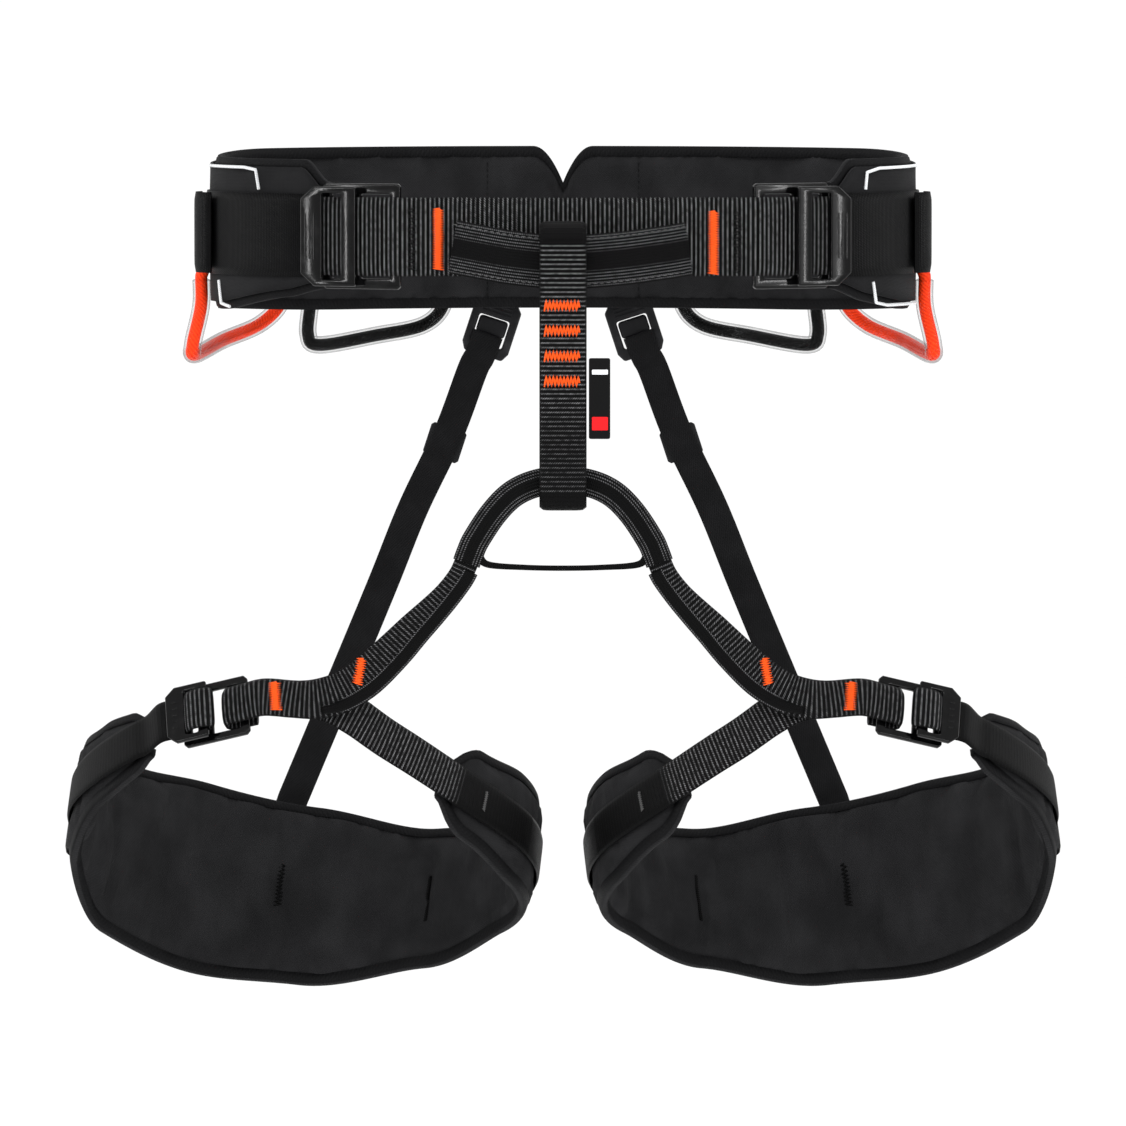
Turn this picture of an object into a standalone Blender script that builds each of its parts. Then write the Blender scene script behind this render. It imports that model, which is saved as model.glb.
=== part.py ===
"""Climbing harness: waist belt, belay loop, bridge, two leg loops, risers and gear loops.

Metres. +X is the right of the harness as seen from in front, +Y is its back, +Z is up.
The origin is the centre of the waist opening.
"""

import math

import bmesh
import bpy
from mathutils import Matrix, Vector

# ---- waist belt ----
WAIST_HALF_WIDTH = 0.181  # middle of the pad
WAIST_HALF_DEPTH = 0.101
PAD_HALF_THICKNESS = 0.004
PAD_LEFT_END = -42.0  # degrees from the front
PAD_RIGHT_END = 50.0
NOTCH_DEPTH = 0.020
NOTCH_HALF_ANGLE = 9.0
SHELL_INNER = 0.0043  # distances outward from the middle of the pad
SHELL_OUTER = 0.0055
WEBBING_INNER = 0.0058
WEBBING_OUTER = 0.0078
WEBBING_HEIGHT = 0.0435
KEEPER_INNER = 0.0081
KEEPER_OUTER = 0.0155

# ---- buckles ----
WAIST_BUCKLES = {"left": -35.5, "right": 41.0}  # degrees from the front
BUCKLE_HEIGHT = 0.055
BUCKLE_RAIL = 0.0055
LEG_BUCKLE_ANGLE = 22.0
LEG_BUCKLE_HEIGHT = 0.034

# ---- belay loop and bridge ----
LOOP_FRONT_Y = -0.1240
LOOP_REAR_Y = -0.1080
LOOP_TOP_Z = 0.0067
LOOP_BOTTOM_Z = -0.1395
LOOP_WIDTH = 0.0250
LOOP_THICKNESS = 0.0042
BRIDGE_Y = -0.1160

# ---- legs ----
LEG_CENTRE_X = 0.1365
LEG_HALF_WIDTH = 0.118
LEG_CENTRE_Y = -0.010
LEG_HALF_DEPTH = 0.085
LEG_CENTRE_Z = -0.317
LEG_RISE = 0.043  # the front of a leg loop is this much above its centre
LEG_SIDE_RISE = 0.0145
LEG_FRONT_LIFT = 0.026
LEG_PAD_ENDS = (42.0, 322.0)
# Angle round the loop, and how far the pad reaches below and above its middle there.
LEG_PAD_EDGES = (
    (42.0, 0.015, 0.020),
    (62.0, 0.020, 0.026),
    (90.0, 0.036, 0.033),
    (120.0, 0.053, 0.045),
    (150.0, 0.056, 0.052),
    (180.0, 0.051, 0.051),
    (214.0, 0.039, 0.041),
    (244.0, 0.028, 0.035),
    (290.0, 0.029, 0.033),
    (312.0, 0.023, 0.029),
    (322.0, 0.015, 0.020),
)
LEG_WEBBING = (0.0050, 0.0070)
LEG_STRAP_WIDTH = 0.0228
HIP_PIVOT = Vector((0.0485, -0.1140, -0.1680))

# ---- gear loops ----
TUBE_RADIUS = 0.00475
TUBE_BORE = 0.00345
CORE_RADIUS = 0.0029


# ---------------------------------------------------------------- tools
def material(name, colour, roughness, metallic=0.0):
    """A plain surface of the given linear colour."""
    made = bpy.data.materials.new(name)
    made.use_nodes = True
    shader = made.node_tree.nodes["Principled BSDF"]
    shader.inputs["Base Color"].default_value = (*colour, 1.0)
    shader.inputs["Roughness"].default_value = roughness
    shader.inputs["Metallic"].default_value = metallic
    return made


def add_object(name, bm, surface, origin):
    """Puts a bmesh made in world coordinates into the scene with its origin at the given point."""
    bmesh.ops.recalc_face_normals(bm, faces=bm.faces)
    bmesh.ops.translate(bm, verts=bm.verts, vec=-origin)
    mesh = bpy.data.meshes.new(name)
    bm.to_mesh(mesh)
    bm.free()
    obj = bpy.data.objects.new(name, mesh)
    obj.location = origin
    obj.data.materials.append(material(name, *surface))
    bpy.context.scene.collection.objects.link(obj)
    return obj


def sweep(name, sections, surface, origin=None, ring=False):
    """One closed body through cross-sections that have equal numbers of points."""
    bm = bmesh.new()
    rows = [[bm.verts.new(point) for point in section] for section in sections]
    count = len(rows[0])
    pairs = list(zip(rows, rows[1:]))
    if ring:
        pairs.append((rows[-1], rows[0]))
    for first, second in pairs:
        for i in range(count):
            j = (i + 1) % count
            bm.faces.new((first[i], first[j], second[j], second[i]))
    if not ring:
        bm.faces.new(rows[0][::-1])
        bm.faces.new(rows[-1])
    middle = sum((vert.co for vert in bm.verts), Vector()) / len(bm.verts)
    return add_object(name, bm, surface, middle if origin is None else origin)


def smooth(points, steps):
    """A smooth curve through the points, with this many steps between each two."""
    points = [Vector(point) for point in points]
    padded = [2 * points[0] - points[1], *points, 2 * points[-1] - points[-2]]
    curve = []
    for before, start, end, after in zip(padded, padded[1:], padded[2:], padded[3:]):
        for step in range(steps):
            t = step / steps
            curve.append(
                0.5
                * (
                    2 * start
                    + (end - before) * t
                    + (2 * before - 5 * start + 4 * end - after) * t**2
                    + (3 * start - before - 3 * end + after) * t**3
                )
            )
    curve.append(points[-1])
    return curve


def tangents(path, ring=False):
    """The direction of the path at each of its points."""
    count = len(path)
    found = []
    for i in range(count):
        before = path[i - 1] if ring or i else path[0]
        after = path[(i + 1) % count] if ring or i < count - 1 else path[-1]
        found.append((after - before).normalized())
    return found


def strap(name, path, across, widths, thickness, surface, origin=None, ring=False):
    """A flat strap along the path. across and widths hold one value for each point of the path."""
    sections = []
    for point, along, side, width in zip(path, tangents(path, ring), across, widths):
        side = (side - along * side.dot(along)).normalized() * width / 2
        up = along.cross(side).normalized() * thickness / 2
        sections.append([point - side - up, point + side - up, point + side + up, point - side + up])
    return sweep(name, sections, surface, origin, ring)


def round_sections(path, radius, sides):
    """Circles of points round the path, turned as little as possible from each to the next."""
    directions = tangents(path)
    side = directions[0].orthogonal().normalized()
    circles = []
    for point, along in zip(path, directions):
        side = (side - along * side.dot(along)).normalized()
        other = along.cross(side)
        turn = [2 * math.pi * i / sides for i in range(sides)]
        circles.append([point + radius * (math.cos(a) * side + math.sin(a) * other) for a in turn])
    return circles


def tube(name, path, radius, bore, surface, origin):
    """A pipe open at both ends."""
    sides = 10
    bm = bmesh.new()
    outer = [[bm.verts.new(p) for p in circle] for circle in round_sections(path, radius, sides)]
    inner = [[bm.verts.new(p) for p in circle] for circle in round_sections(path, bore, sides)]
    for i in range(sides):
        j = (i + 1) % sides
        for wall in (outer, inner):
            for first, second in zip(wall, wall[1:]):
                bm.faces.new((first[i], first[j], second[j], second[i]))
        for end in (0, -1):
            bm.faces.new((outer[end][i], outer[end][j], inner[end][j], inner[end][i]))
    return add_object(name, bm, surface, origin)


def plate(name, columns, rows, open_cells, depth, place, surface, origin=None):
    """A flat plate with square windows: cells between the columns and rows, less the open ones."""
    bm = bmesh.new()
    corners = {}

    def corner(i, j, face):
        if (i, j, face) not in corners:
            local = Vector((columns[i], rows[j], depth[face]))
            corners[i, j, face] = bm.verts.new(place @ local)
        return corners[i, j, face]

    cells = {(i, j) for i in range(len(columns) - 1) for j in range(len(rows) - 1)} - set(open_cells)
    sides = (
        ((0, 0), (1, 0), (0, -1)),
        ((1, 0), (1, 1), (1, 0)),
        ((1, 1), (0, 1), (0, 1)),
        ((0, 1), (0, 0), (-1, 0)),
    )
    for i, j in sorted(cells):
        for face in (0, 1):
            bm.faces.new([corner(i + a, j + b, face) for a, b in ((0, 0), (1, 0), (1, 1), (0, 1))])
        for start, end, step in sides:
            if (i + step[0], j + step[1]) in cells:
                continue
            a = (i + start[0], j + start[1])
            b = (i + end[0], j + end[1])
            bm.faces.new((corner(*a, 0), corner(*b, 0), corner(*b, 1), corner(*a, 1)))
    middle = place.translation if origin is None else origin
    return add_object(name, bm, surface, middle.copy())


def blend(start, end, value):
    """0 below start, 1 above end, and a smooth rise between."""
    t = min(1.0, max(0.0, (value - start) / (end - start)))
    return t * t * (3 - 2 * t)


# ---------------------------------------------------------------- waist belt
def waist(degrees, out=0.0, z=0.0):
    """A point round the waist: 0 degrees is the front, 90 is +X; out is measured off the pad's middle."""
    angle = math.radians(degrees)
    point = Vector((WAIST_HALF_WIDTH * math.sin(angle), -WAIST_HALF_DEPTH * math.cos(angle), z))
    normal = Vector((WAIST_HALF_DEPTH * math.sin(angle), -WAIST_HALF_WIDTH * math.cos(angle), 0))
    return point + out * normal.normalized()


def from_back(degrees):
    """How far an angle round the waist is from the middle of the back."""
    return abs((degrees % 360) - 180)


def pad_top(degrees):
    """Height of the pad's upper edge, with rounded front corners and a notch at the back."""
    back = from_back(degrees)
    height = 0.0425 - 0.003 * blend(60, 100, back)
    notch = max(0.0, 1 - back / NOTCH_HALF_ANGLE)
    end = blend(6, 0, min(abs(degrees - PAD_RIGHT_END), abs(degrees - 360 - PAD_LEFT_END)))
    return height - NOTCH_DEPTH * notch - 0.012 * end


def pad_bottom(degrees):
    """Height of the pad's lower edge, which rises towards the front ends."""
    back = from_back(degrees)
    end = blend(10, 0, min(abs(degrees - PAD_RIGHT_END), abs(degrees - 360 - PAD_LEFT_END)))
    return -0.0445 + 0.004 * blend(40, 100, back) + 0.009 * blend(100, 135, back) + 0.004 * end


def waist_band(name, start, end, step, inner, outer, low, high, surface):
    """A band round the waist between two angles; low and high give its edges at each angle."""
    count = max(2, round((end - start) / step))
    angles = [start + (end - start) * i / count for i in range(count + 1)]
    sections = []
    for angle in angles:
        bottom = low(angle)
        top = high(angle)
        sections.append(
            [
                waist(angle, inner, bottom),
                waist(angle, outer, bottom),
                waist(angle, outer, top),
                waist(angle, inner, top),
            ]
        )
    return sweep(name, sections, surface)


def make_waist_pad():
    """The foam pad with its lining."""
    waist_band(
        "waist_pad",
        PAD_RIGHT_END,
        360 + PAD_LEFT_END,
        3.0,
        -PAD_HALF_THICKNESS,
        PAD_HALF_THICKNESS,
        pad_bottom,
        pad_top,
        ((0.017, 0.017, 0.018), 0.9),
    )


def make_waist_shells():
    """The outer cover of each half of the pad."""
    spans = {"right": (PAD_RIGHT_END + 1, 169.0), "left": (191.0, 359 + PAD_LEFT_END)}
    for side, (start, end) in spans.items():
        waist_band(
            f"waist_shell_{side}",
            start,
            end,
            5.0,
            SHELL_INNER,
            SHELL_OUTER,
            lambda angle: pad_bottom(angle) + 0.0015,
            lambda angle: pad_top(angle) - 0.0015,
            ((0.012, 0.012, 0.013), 0.8),
        )


def webbing_low(_angle):
    """Lower edge of the load webbing."""
    return -WEBBING_HEIGHT / 2


def webbing_high(_angle):
    """Upper edge of the load webbing."""
    return WEBBING_HEIGHT / 2


def make_waist_webbing():
    """Load webbing from the right buckle round the back to the left one."""
    waist_band(
        "waist_webbing",
        WAIST_BUCKLES["right"] + 8.5,
        360 + WAIST_BUCKLES["left"] - 8.5,
        5.0,
        WEBBING_INNER,
        WEBBING_OUTER,
        webbing_low,
        webbing_high,
        ((0.006, 0.006, 0.007), 0.45),
    )


def make_waist_keepers():
    """A loop that stands proud of the webbing at each side."""
    for side, middle in (("left", 278.0), ("right", 82.0)):
        waist_band(
            f"waist_keeper_{side}",
            middle - 5,
            middle + 5,
            2.5,
            KEEPER_INNER,
            KEEPER_OUTER,
            lambda _angle: -0.0215,
            lambda _angle: 0.0215,
            ((0.006, 0.006, 0.007), 0.45),
        )


def make_front_belt():
    """Ribbed webbing between the two buckles, which lies inside their frames."""
    waist_band(
        "front_belt",
        WAIST_BUCKLES["left"] - 5.5,
        WAIST_BUCKLES["right"] + 5.5,
        4.0,
        0.0010,
        0.0030,
        lambda _angle: -0.0205,
        lambda _angle: 0.0205,
        ((0.02, 0.02, 0.021), 0.6),
    )


def waist_place(degrees, out):
    """A frame on the waist: x along the belt towards +X, y up, z outwards."""
    along = (waist(degrees + 0.5) - waist(degrees - 0.5)).normalized()
    up = Vector((0, 0, 1))
    outward = along.cross(up)
    turned = Matrix((along, up, outward)).transposed().to_4x4()
    return Matrix.Translation(waist(degrees, out)) @ turned


def make_waist_buckles():
    """A frame close to the pad and, in front of the webbing, the slider that locks it."""
    half = BUCKLE_HEIGHT / 2
    inside = half - BUCKLE_RAIL
    for side, angle in WAIST_BUCKLES.items():
        away = 1 if side == "right" else -1
        columns = [-0.0240, -0.0185, -0.0020, 0.0025, 0.0145, 0.0200]
        rows = [-half, -inside, inside, half]
        place = waist_place(angle, 0.0045) @ Matrix.Diagonal((away, 1, 1, 1))
        plate(
            f"waist_buckle_frame_{side}",
            columns,
            rows,
            [(1, 1), (3, 1)],
            (0.0, 0.0030),
            place,
            ((0.004, 0.004, 0.004), 0.12, 0.6),
        )
        columns = [-0.0020, 0.0060, 0.0170, 0.0290]
        rows = [-0.0260, -0.0225, 0.0225, 0.0260]
        place = waist_place(angle, 0.0125) @ Matrix.Diagonal((away, 1, 1, 1))
        plate(
            f"waist_buckle_slider_{side}",
            columns,
            rows,
            [(1, 1)],
            (0.0, 0.0030),
            place,
            ((0.004, 0.004, 0.004), 0.12, 0.6),
        )


def make_haul_loop():
    """A small upright loop in the middle of the back."""
    path = [
        Vector((0, WAIST_HALF_DEPTH + y, z))
        for y, z in ((0.0105, -0.020), (0.0115, -0.012), (0.0150, 0.0), (0.0115, 0.012), (0.0105, 0.020))
    ]
    path = smooth(path, 4)
    strap(
        "haul_loop",
        path,
        [Vector((1, 0, 0))] * len(path),
        [0.010] * len(path),
        0.0016,
        ((0.01, 0.01, 0.01), 0.6),
        origin=path[0].copy(),
    )


# ---------------------------------------------------------------- belay loop and bridge
def make_tie_in_band():
    """The upper tie-in loop: it leaves the belt at its two ends and sags forward between them."""
    path = smooth(
        [
            (-0.057, -0.1038, -0.0050),
            (-0.046, -0.1075, -0.0070),
            (-0.025, -0.1140, -0.0105),
            (0.000, -0.1160, -0.0125),
            (0.027, -0.1140, -0.0110),
            (0.052, -0.1070, -0.0080),
            (0.065, -0.1022, -0.0060),
        ],
        3,
    )
    strap(
        "tie_in_band",
        path,
        [Vector((0, 0, 1))] * len(path),
        [0.0280] * len(path),
        0.0032,
        ((0.012, 0.012, 0.012), 0.6),
    )


def make_belay_loop():
    """A closed upright loop of doubled webbing."""
    radius = (LOOP_REAR_Y - LOOP_FRONT_Y) / 2
    middle = (LOOP_REAR_Y + LOOP_FRONT_Y) / 2
    top = LOOP_TOP_Z - radius
    bottom = LOOP_BOTTOM_Z + radius
    path = []
    for centre, start in ((top, 0), (bottom, 180)):
        for step in range(9):
            turn = math.radians(start + 22.5 * step)
            path.append(Vector((0, middle + radius * math.cos(turn), centre + radius * math.sin(turn))))
        run = bottom - top if start == 0 else top - bottom
        end = path[-1]
        path.extend(end + Vector((0, 0, run * step / 6)) for step in range(1, 6))
    strap(
        "belay_loop",
        path,
        [Vector((1, 0, 0))] * len(path),
        [LOOP_WIDTH] * len(path),
        LOOP_THICKNESS,
        ((0.02, 0.02, 0.021), 0.6),
        ring=True,
    )


def make_belay_tag():
    """The woven tag sewn to the side of the belay loop."""
    place = Matrix.Translation((0.0, LOOP_FRONT_Y, -0.0830)) @ Matrix.Rotation(math.pi / 2, 4, "X")
    plate(
        "belay_tag",
        [0.0134, 0.0245],
        [-0.0210, 0.0210],
        [],
        (-0.0005, 0.0005),
        place,
        ((0.01, 0.01, 0.01), 0.7),
        origin=Vector((0.0134, LOOP_FRONT_Y, -0.0830)),
    )


def make_bridge():
    """The arch through the belay loop and the thin tape that ties its two arms."""
    arm = [
        (-0.0480, BRIDGE_Y, -0.1645),
        (-0.0450, BRIDGE_Y, -0.1565),
        (-0.0360, BRIDGE_Y, -0.1430),
        (-0.0260, BRIDGE_Y, -0.1330),
        (-0.0140, BRIDGE_Y, -0.1275),
    ]
    other = [(-x, y, z) for x, y, z in reversed(arm)]
    path = smooth([*arm, (0, BRIDGE_Y, -0.1258), *other], 3)
    # The band's width stands square to its path, in the plane of the arch.
    across = [Vector((-along.z, 0, along.x)) for along in tangents(path)]
    strap("bridge_arch", path, across, [0.0145] * len(path), 0.0045, ((0.012, 0.012, 0.012), 0.6))
    tape = smooth(
        [
            (-0.0390, BRIDGE_Y, -0.1700),
            (-0.0200, BRIDGE_Y, -0.1712),
            (0.0, BRIDGE_Y, -0.1716),
            (0.0200, BRIDGE_Y, -0.1712),
            (0.0390, BRIDGE_Y, -0.1700),
        ],
        2,
    )
    widths = [0.0028 + 0.0022 * (abs(point.x) / 0.039) ** 3 for point in tape]
    strap(
        "bridge_tape",
        tape,
        [Vector((0, 0, 1))] * len(tape),
        widths,
        0.0014,
        ((0.01, 0.01, 0.01), 0.6),
    )


# ---------------------------------------------------------------- legs
def leg(side, degrees, out=0.0, rise=0.0):
    """A point round a leg loop: 0 degrees is the front, 90 its outer side.

    out is measured off the pad's middle, and rise up the loop's own axis.
    """
    point, _along, outward, up = leg_frame(side, degrees)
    return point + out * outward + rise * up


def leg_middle(side, degrees):
    """The middle of the pad at an angle round a leg loop."""
    angle = math.radians(degrees)
    power = 3 if math.sin(angle) > -0.15 else 6
    lift = LEG_FRONT_LIFT * max(0.0, math.cos(angle)) ** power
    return Vector(
        (
            side * (LEG_CENTRE_X + LEG_HALF_WIDTH * math.sin(angle)),
            LEG_CENTRE_Y - LEG_HALF_DEPTH * math.cos(angle),
            LEG_CENTRE_Z + LEG_SIDE_RISE * math.sin(angle) + LEG_RISE * math.cos(angle) + lift,
        )
    )


def leg_frame(side, degrees):
    """(point, along, outward, up) at an angle round a leg loop."""
    along = (leg_middle(side, degrees + 1) - leg_middle(side, degrees - 1)).normalized()
    axis = Vector((-side * LEG_SIDE_RISE / LEG_HALF_WIDTH, LEG_RISE / LEG_HALF_DEPTH, 1)).normalized()
    up = (axis - along * axis.dot(along)).normalized()
    outward = along.cross(up) * side
    return leg_middle(side, degrees), along, outward, up


def leg_pad_edges(degrees):
    """How far the pad reaches below and above its middle: least at the front, most at the back."""
    for (start, low, high), (end, next_low, next_high) in zip(LEG_PAD_EDGES, LEG_PAD_EDGES[1:]):
        if degrees <= end:
            share = blend(start, end, degrees)
            return low + (next_low - low) * share, high + (next_high - high) * share
    return LEG_PAD_EDGES[-1][1:]


def strap_edges(_degrees):
    """How far a leg strap reaches below and above its middle."""
    return LEG_STRAP_WIDTH / 2, LEG_STRAP_WIDTH / 2


def keeper_edges(_degrees):
    """The keeper's reach below and above: a little more than the strap's."""
    return 0.0150, 0.0150


def leg_band(name, side, start, end, step, inner, outer, edges, surface):
    """A band round a leg loop between two angles; edges gives its reach below and above at an angle."""
    count = max(2, round((end - start) / step))
    sections = []
    for i in range(count + 1):
        angle = start + (end - start) * i / count
        below, above = edges(angle)
        sections.append(
            [
                leg(side, angle, inner, -below),
                leg(side, angle, outer, -below),
                leg(side, angle, outer, above),
                leg(side, angle, inner, above),
            ]
        )
    return sweep(name, sections, surface, hip(side))


def hip(side):
    """The point that a leg loop swings about."""
    return Vector((side * HIP_PIVOT.x, HIP_PIVOT.y, HIP_PIVOT.z))


def make_leg_soft_parts(name, side):
    """Pad, webbing round its outside, adjustable strap and the keeper for its tail."""
    black = ((0.006, 0.006, 0.007), 0.5)
    inner, outer = LEG_WEBBING
    leg_band(
        f"leg_pad_{name}",
        side,
        *LEG_PAD_ENDS,
        5.0,
        -PAD_HALF_THICKNESS,
        PAD_HALF_THICKNESS,
        leg_pad_edges,
        ((0.017, 0.017, 0.018), 0.9),
    )
    leg_band(f"leg_outer_strap_{name}", side, 33.0, 103.0, 6.0, inner, outer, strap_edges, black)
    leg_band(f"leg_back_webbing_{name}", side, 117.0, 286.0, 6.0, inner, outer, strap_edges, black)
    leg_band(f"leg_inner_strap_{name}", side, 287.0, 354.0, 5.0, inner, outer, strap_edges, black)
    leg_band(f"leg_keeper_{name}", side, 104.0, 116.0, 4.0, inner, 0.0170, keeper_edges, black)


def make_leg_front_strap(name, side):
    """The strap from the bridge to the leg buckle: narrow at the top, full width below."""
    points = [
        (0.0498, -0.1158, -0.1676),
        (0.0530, -0.1155, -0.1750),
        (0.0600, -0.1145, -0.1850),
        (0.0680, -0.1135, -0.1935),
        (0.0780, -0.1125, -0.2040),
        (0.0890, -0.1110, -0.2165),
        (0.1040, -0.1090, -0.2320),
        (0.1190, -0.1085, -0.2425),
        (0.1360, -0.1080, -0.2465),
        (0.1500, -0.1055, -0.2480),
        (0.1610, -0.1020, -0.2495),
    ]
    path = smooth([(side * x, y, z) for x, y, z in points], 3)
    across = [Vector((-along.z, 0, along.x)) for along in tangents(path)]
    widths = [0.0130 + 0.0095 * blend(0.2, 0.75, i / len(path)) for i in range(len(path))]
    strap(
        f"leg_front_strap_{name}", path, across, widths, 0.0032, ((0.02, 0.02, 0.021), 0.6), hip(side)
    )


def leg_place(side, degrees, out):
    """A frame on a leg loop: x along the strap away from the middle, y up, z outwards."""
    point, along, outward, up = leg_frame(side, degrees)
    turned = Matrix((along, up, outward)).transposed().to_4x4()
    return Matrix.Translation(point + out * outward) @ turned


def make_leg_buckle(name, side):
    """The two-piece buckle that joins the front strap to the outer strap."""
    half = LEG_BUCKLE_HEIGHT / 2
    inside = half - 0.0045
    plate(
        f"leg_buckle_frame_{name}",
        [-0.0200, -0.0150, 0.0, 0.0040, 0.0120, 0.0170],
        [-half, -inside, inside, half],
        [(1, 1), (3, 1)],
        (0.0, 0.0025),
        leg_place(side, LEG_BUCKLE_ANGLE, 0.0040),
        ((0.004, 0.004, 0.004), 0.12, 0.6),
        origin=hip(side),
    )
    plate(
        f"leg_buckle_slider_{name}",
        [0.0010, 0.0065, 0.0135, 0.0240],
        [-0.0160, -0.0125, 0.0125, 0.0160],
        [(1, 1)],
        (0.0, 0.0025),
        leg_place(side, LEG_BUCKLE_ANGLE, 0.0100),
        ((0.004, 0.004, 0.004), 0.12, 0.6),
    )


# ---------------------------------------------------------------- risers
RISER_TOP = Vector((0.0470, 0.1135, -0.0740))
RISER_END = Vector((0.1450, 0.1085, -0.3080))


def make_riser(name, side):
    """Elastic strap up the back, its sliding keeper, hook buckle, spring tongue and belt tab."""
    black = ((0.006, 0.006, 0.006), 0.6)
    plastic = ((0.012, 0.012, 0.013), 0.4)

    def at(x, y, z):
        return Vector((side * x, y, z))

    path = smooth(
        [
            at(RISER_TOP.x, RISER_TOP.y, RISER_TOP.z),
            at(0.0617, 0.1130, -0.1130),
            at(0.0808, 0.1120, -0.1530),
            at(0.0973, 0.1110, -0.1940),
            at(0.1210, 0.1100, -0.2510),
            at(RISER_END.x, RISER_END.y, RISER_END.z),
        ],
        3,
    )
    across = [Vector((-along.z, 0, along.x)) for along in tangents(path)]
    count = len(path)
    strap(f"riser_{name}", path, across, [0.0165] * count, 0.0020, black)
    lean = math.atan2(0.0617 - 0.0440, 0.1130 - 0.0590) * side
    down = Matrix.Rotation(math.pi / 2, 4, "X")
    keeper = Matrix.Translation(at(0.0638, 0.1150, -0.1180)) @ Matrix.Rotation(-lean, 4, "Y") @ down
    plate(
        f"riser_keeper_{name}",
        [-0.0100, 0.0100],
        [-0.0090, 0.0090],
        [],
        (-0.0020, 0.0000),
        keeper,
        black,
    )
    body = Matrix.Translation(at(0.0385, 0.1145, -0.0560)) @ Matrix.Rotation(-lean, 4, "Y") @ down
    plate(
        f"riser_buckle_{name}",
        [-0.0130, -0.0085, 0.0085, 0.0130],
        [-0.0155, -0.0095, 0.0060, 0.0155],
        [(1, 1)],
        (-0.0040, 0.0040),
        body,
        plastic,
    )
    plate(
        f"riser_latch_{name}",
        [-0.0080, 0.0080],
        [-0.0040, 0.0055],
        [],
        (-0.0025, 0.0025),
        body,
        plastic,
    )
    tab = smooth([at(0.0340, 0.1122, 0.0160), at(0.0345, 0.1125, -0.0100), at(0.0340, 0.1135, -0.0370)], 4)
    strap(f"riser_tab_{name}", tab, [Vector((1, 0, 0))] * len(tab), [0.0160] * len(tab), 0.0016, black)


# ---------------------------------------------------------------- gear loops
def make_gear_loop(name, start, end, corner, drop, far_drop, colour):
    """A cord in a clear tube that hangs from the lower edge of the belt between two angles."""
    out = SHELL_OUTER + TUBE_RADIUS + 0.0004
    deepest = WEBBING_OUTER + 0.0075
    points = [
        waist(start, out, -0.0240),
        waist(start + 0.04 * (end - start), out + 0.0005, -0.0400),
        waist(corner - 0.04 * (end - start), deepest, drop + 0.0060),
        waist(corner + 0.05 * (end - start), deepest, drop),
        waist(start + 0.55 * (end - start), deepest, 0.55 * drop + 0.45 * far_drop),
        waist(start + 0.88 * (end - start), deepest, far_drop),
        waist(end, out, far_drop + 0.0120),
        waist(end, out, -0.0240),
    ]
    path = smooth(points, 4)
    hinge = (path[0] + path[-1]) / 2
    tube(f"gear_tube_{name}", path, TUBE_RADIUS, TUBE_BORE, ((0.5, 0.5, 0.5), 0.15), hinge)
    sweep(f"gear_core_{name}", round_sections(path, CORE_RADIUS, 8), (colour, 0.5), hinge)


def make_gear_loops():
    """Orange loops at the sides and black ones at the back."""
    orange = (0.9, 0.05, 0.01)
    black = (0.01, 0.01, 0.01)
    make_gear_loop("front_right", 92.0, 127.0, 94.0, -0.0660, -0.0520, orange)
    make_gear_loop("front_left", 268.0, 233.0, 266.0, -0.0660, -0.0520, orange)
    make_gear_loop("rear_right", 133.0, 160.0, 135.5, -0.0640, -0.0540, black)
    make_gear_loop("rear_left", 227.0, 200.0, 224.5, -0.0640, -0.0540, black)


def main():
    """Clears the scene and makes the whole harness."""
    for obj in list(bpy.data.objects):
        bpy.data.objects.remove(obj, do_unlink=True)
    make_waist_pad()
    make_waist_shells()
    make_waist_webbing()
    make_waist_keepers()
    make_front_belt()
    make_waist_buckles()
    make_haul_loop()
    make_tie_in_band()
    make_belay_loop()
    make_belay_tag()
    make_bridge()
    for name, side in (("left", -1), ("right", 1)):
        make_leg_soft_parts(name, side)
        make_leg_front_strap(name, side)
        make_leg_buckle(name, side)
        make_riser(name, side)
    make_gear_loops()


main()
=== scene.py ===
"""Looks of the climbing harness: webbing, pads, buckles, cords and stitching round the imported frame."""

import math

import bmesh
import bpy
import numpy as np
from mathutils import Matrix, Vector
from mathutils.bvhtree import BVHTree


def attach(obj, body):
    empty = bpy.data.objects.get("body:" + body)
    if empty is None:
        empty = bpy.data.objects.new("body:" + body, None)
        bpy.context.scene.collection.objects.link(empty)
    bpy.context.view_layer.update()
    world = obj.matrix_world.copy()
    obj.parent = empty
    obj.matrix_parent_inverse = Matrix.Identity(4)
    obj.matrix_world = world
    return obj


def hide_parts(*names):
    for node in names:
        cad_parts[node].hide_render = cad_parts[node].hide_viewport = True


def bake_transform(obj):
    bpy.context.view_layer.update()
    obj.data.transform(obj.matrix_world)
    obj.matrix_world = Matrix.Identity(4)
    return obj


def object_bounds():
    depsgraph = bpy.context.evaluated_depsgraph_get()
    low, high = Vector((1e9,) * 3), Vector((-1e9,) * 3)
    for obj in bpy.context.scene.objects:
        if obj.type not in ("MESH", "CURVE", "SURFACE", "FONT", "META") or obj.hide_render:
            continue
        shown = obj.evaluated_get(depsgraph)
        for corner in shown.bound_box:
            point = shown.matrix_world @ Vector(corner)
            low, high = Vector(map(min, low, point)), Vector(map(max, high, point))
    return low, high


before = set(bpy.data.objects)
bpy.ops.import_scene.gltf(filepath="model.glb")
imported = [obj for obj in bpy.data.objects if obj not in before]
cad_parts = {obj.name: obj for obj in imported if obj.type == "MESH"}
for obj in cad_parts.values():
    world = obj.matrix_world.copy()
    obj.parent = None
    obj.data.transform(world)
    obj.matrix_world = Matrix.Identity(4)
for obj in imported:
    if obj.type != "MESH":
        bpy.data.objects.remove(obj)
cad_low, cad_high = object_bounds()

SIDES = {"left": -1, "right": 1}

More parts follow.
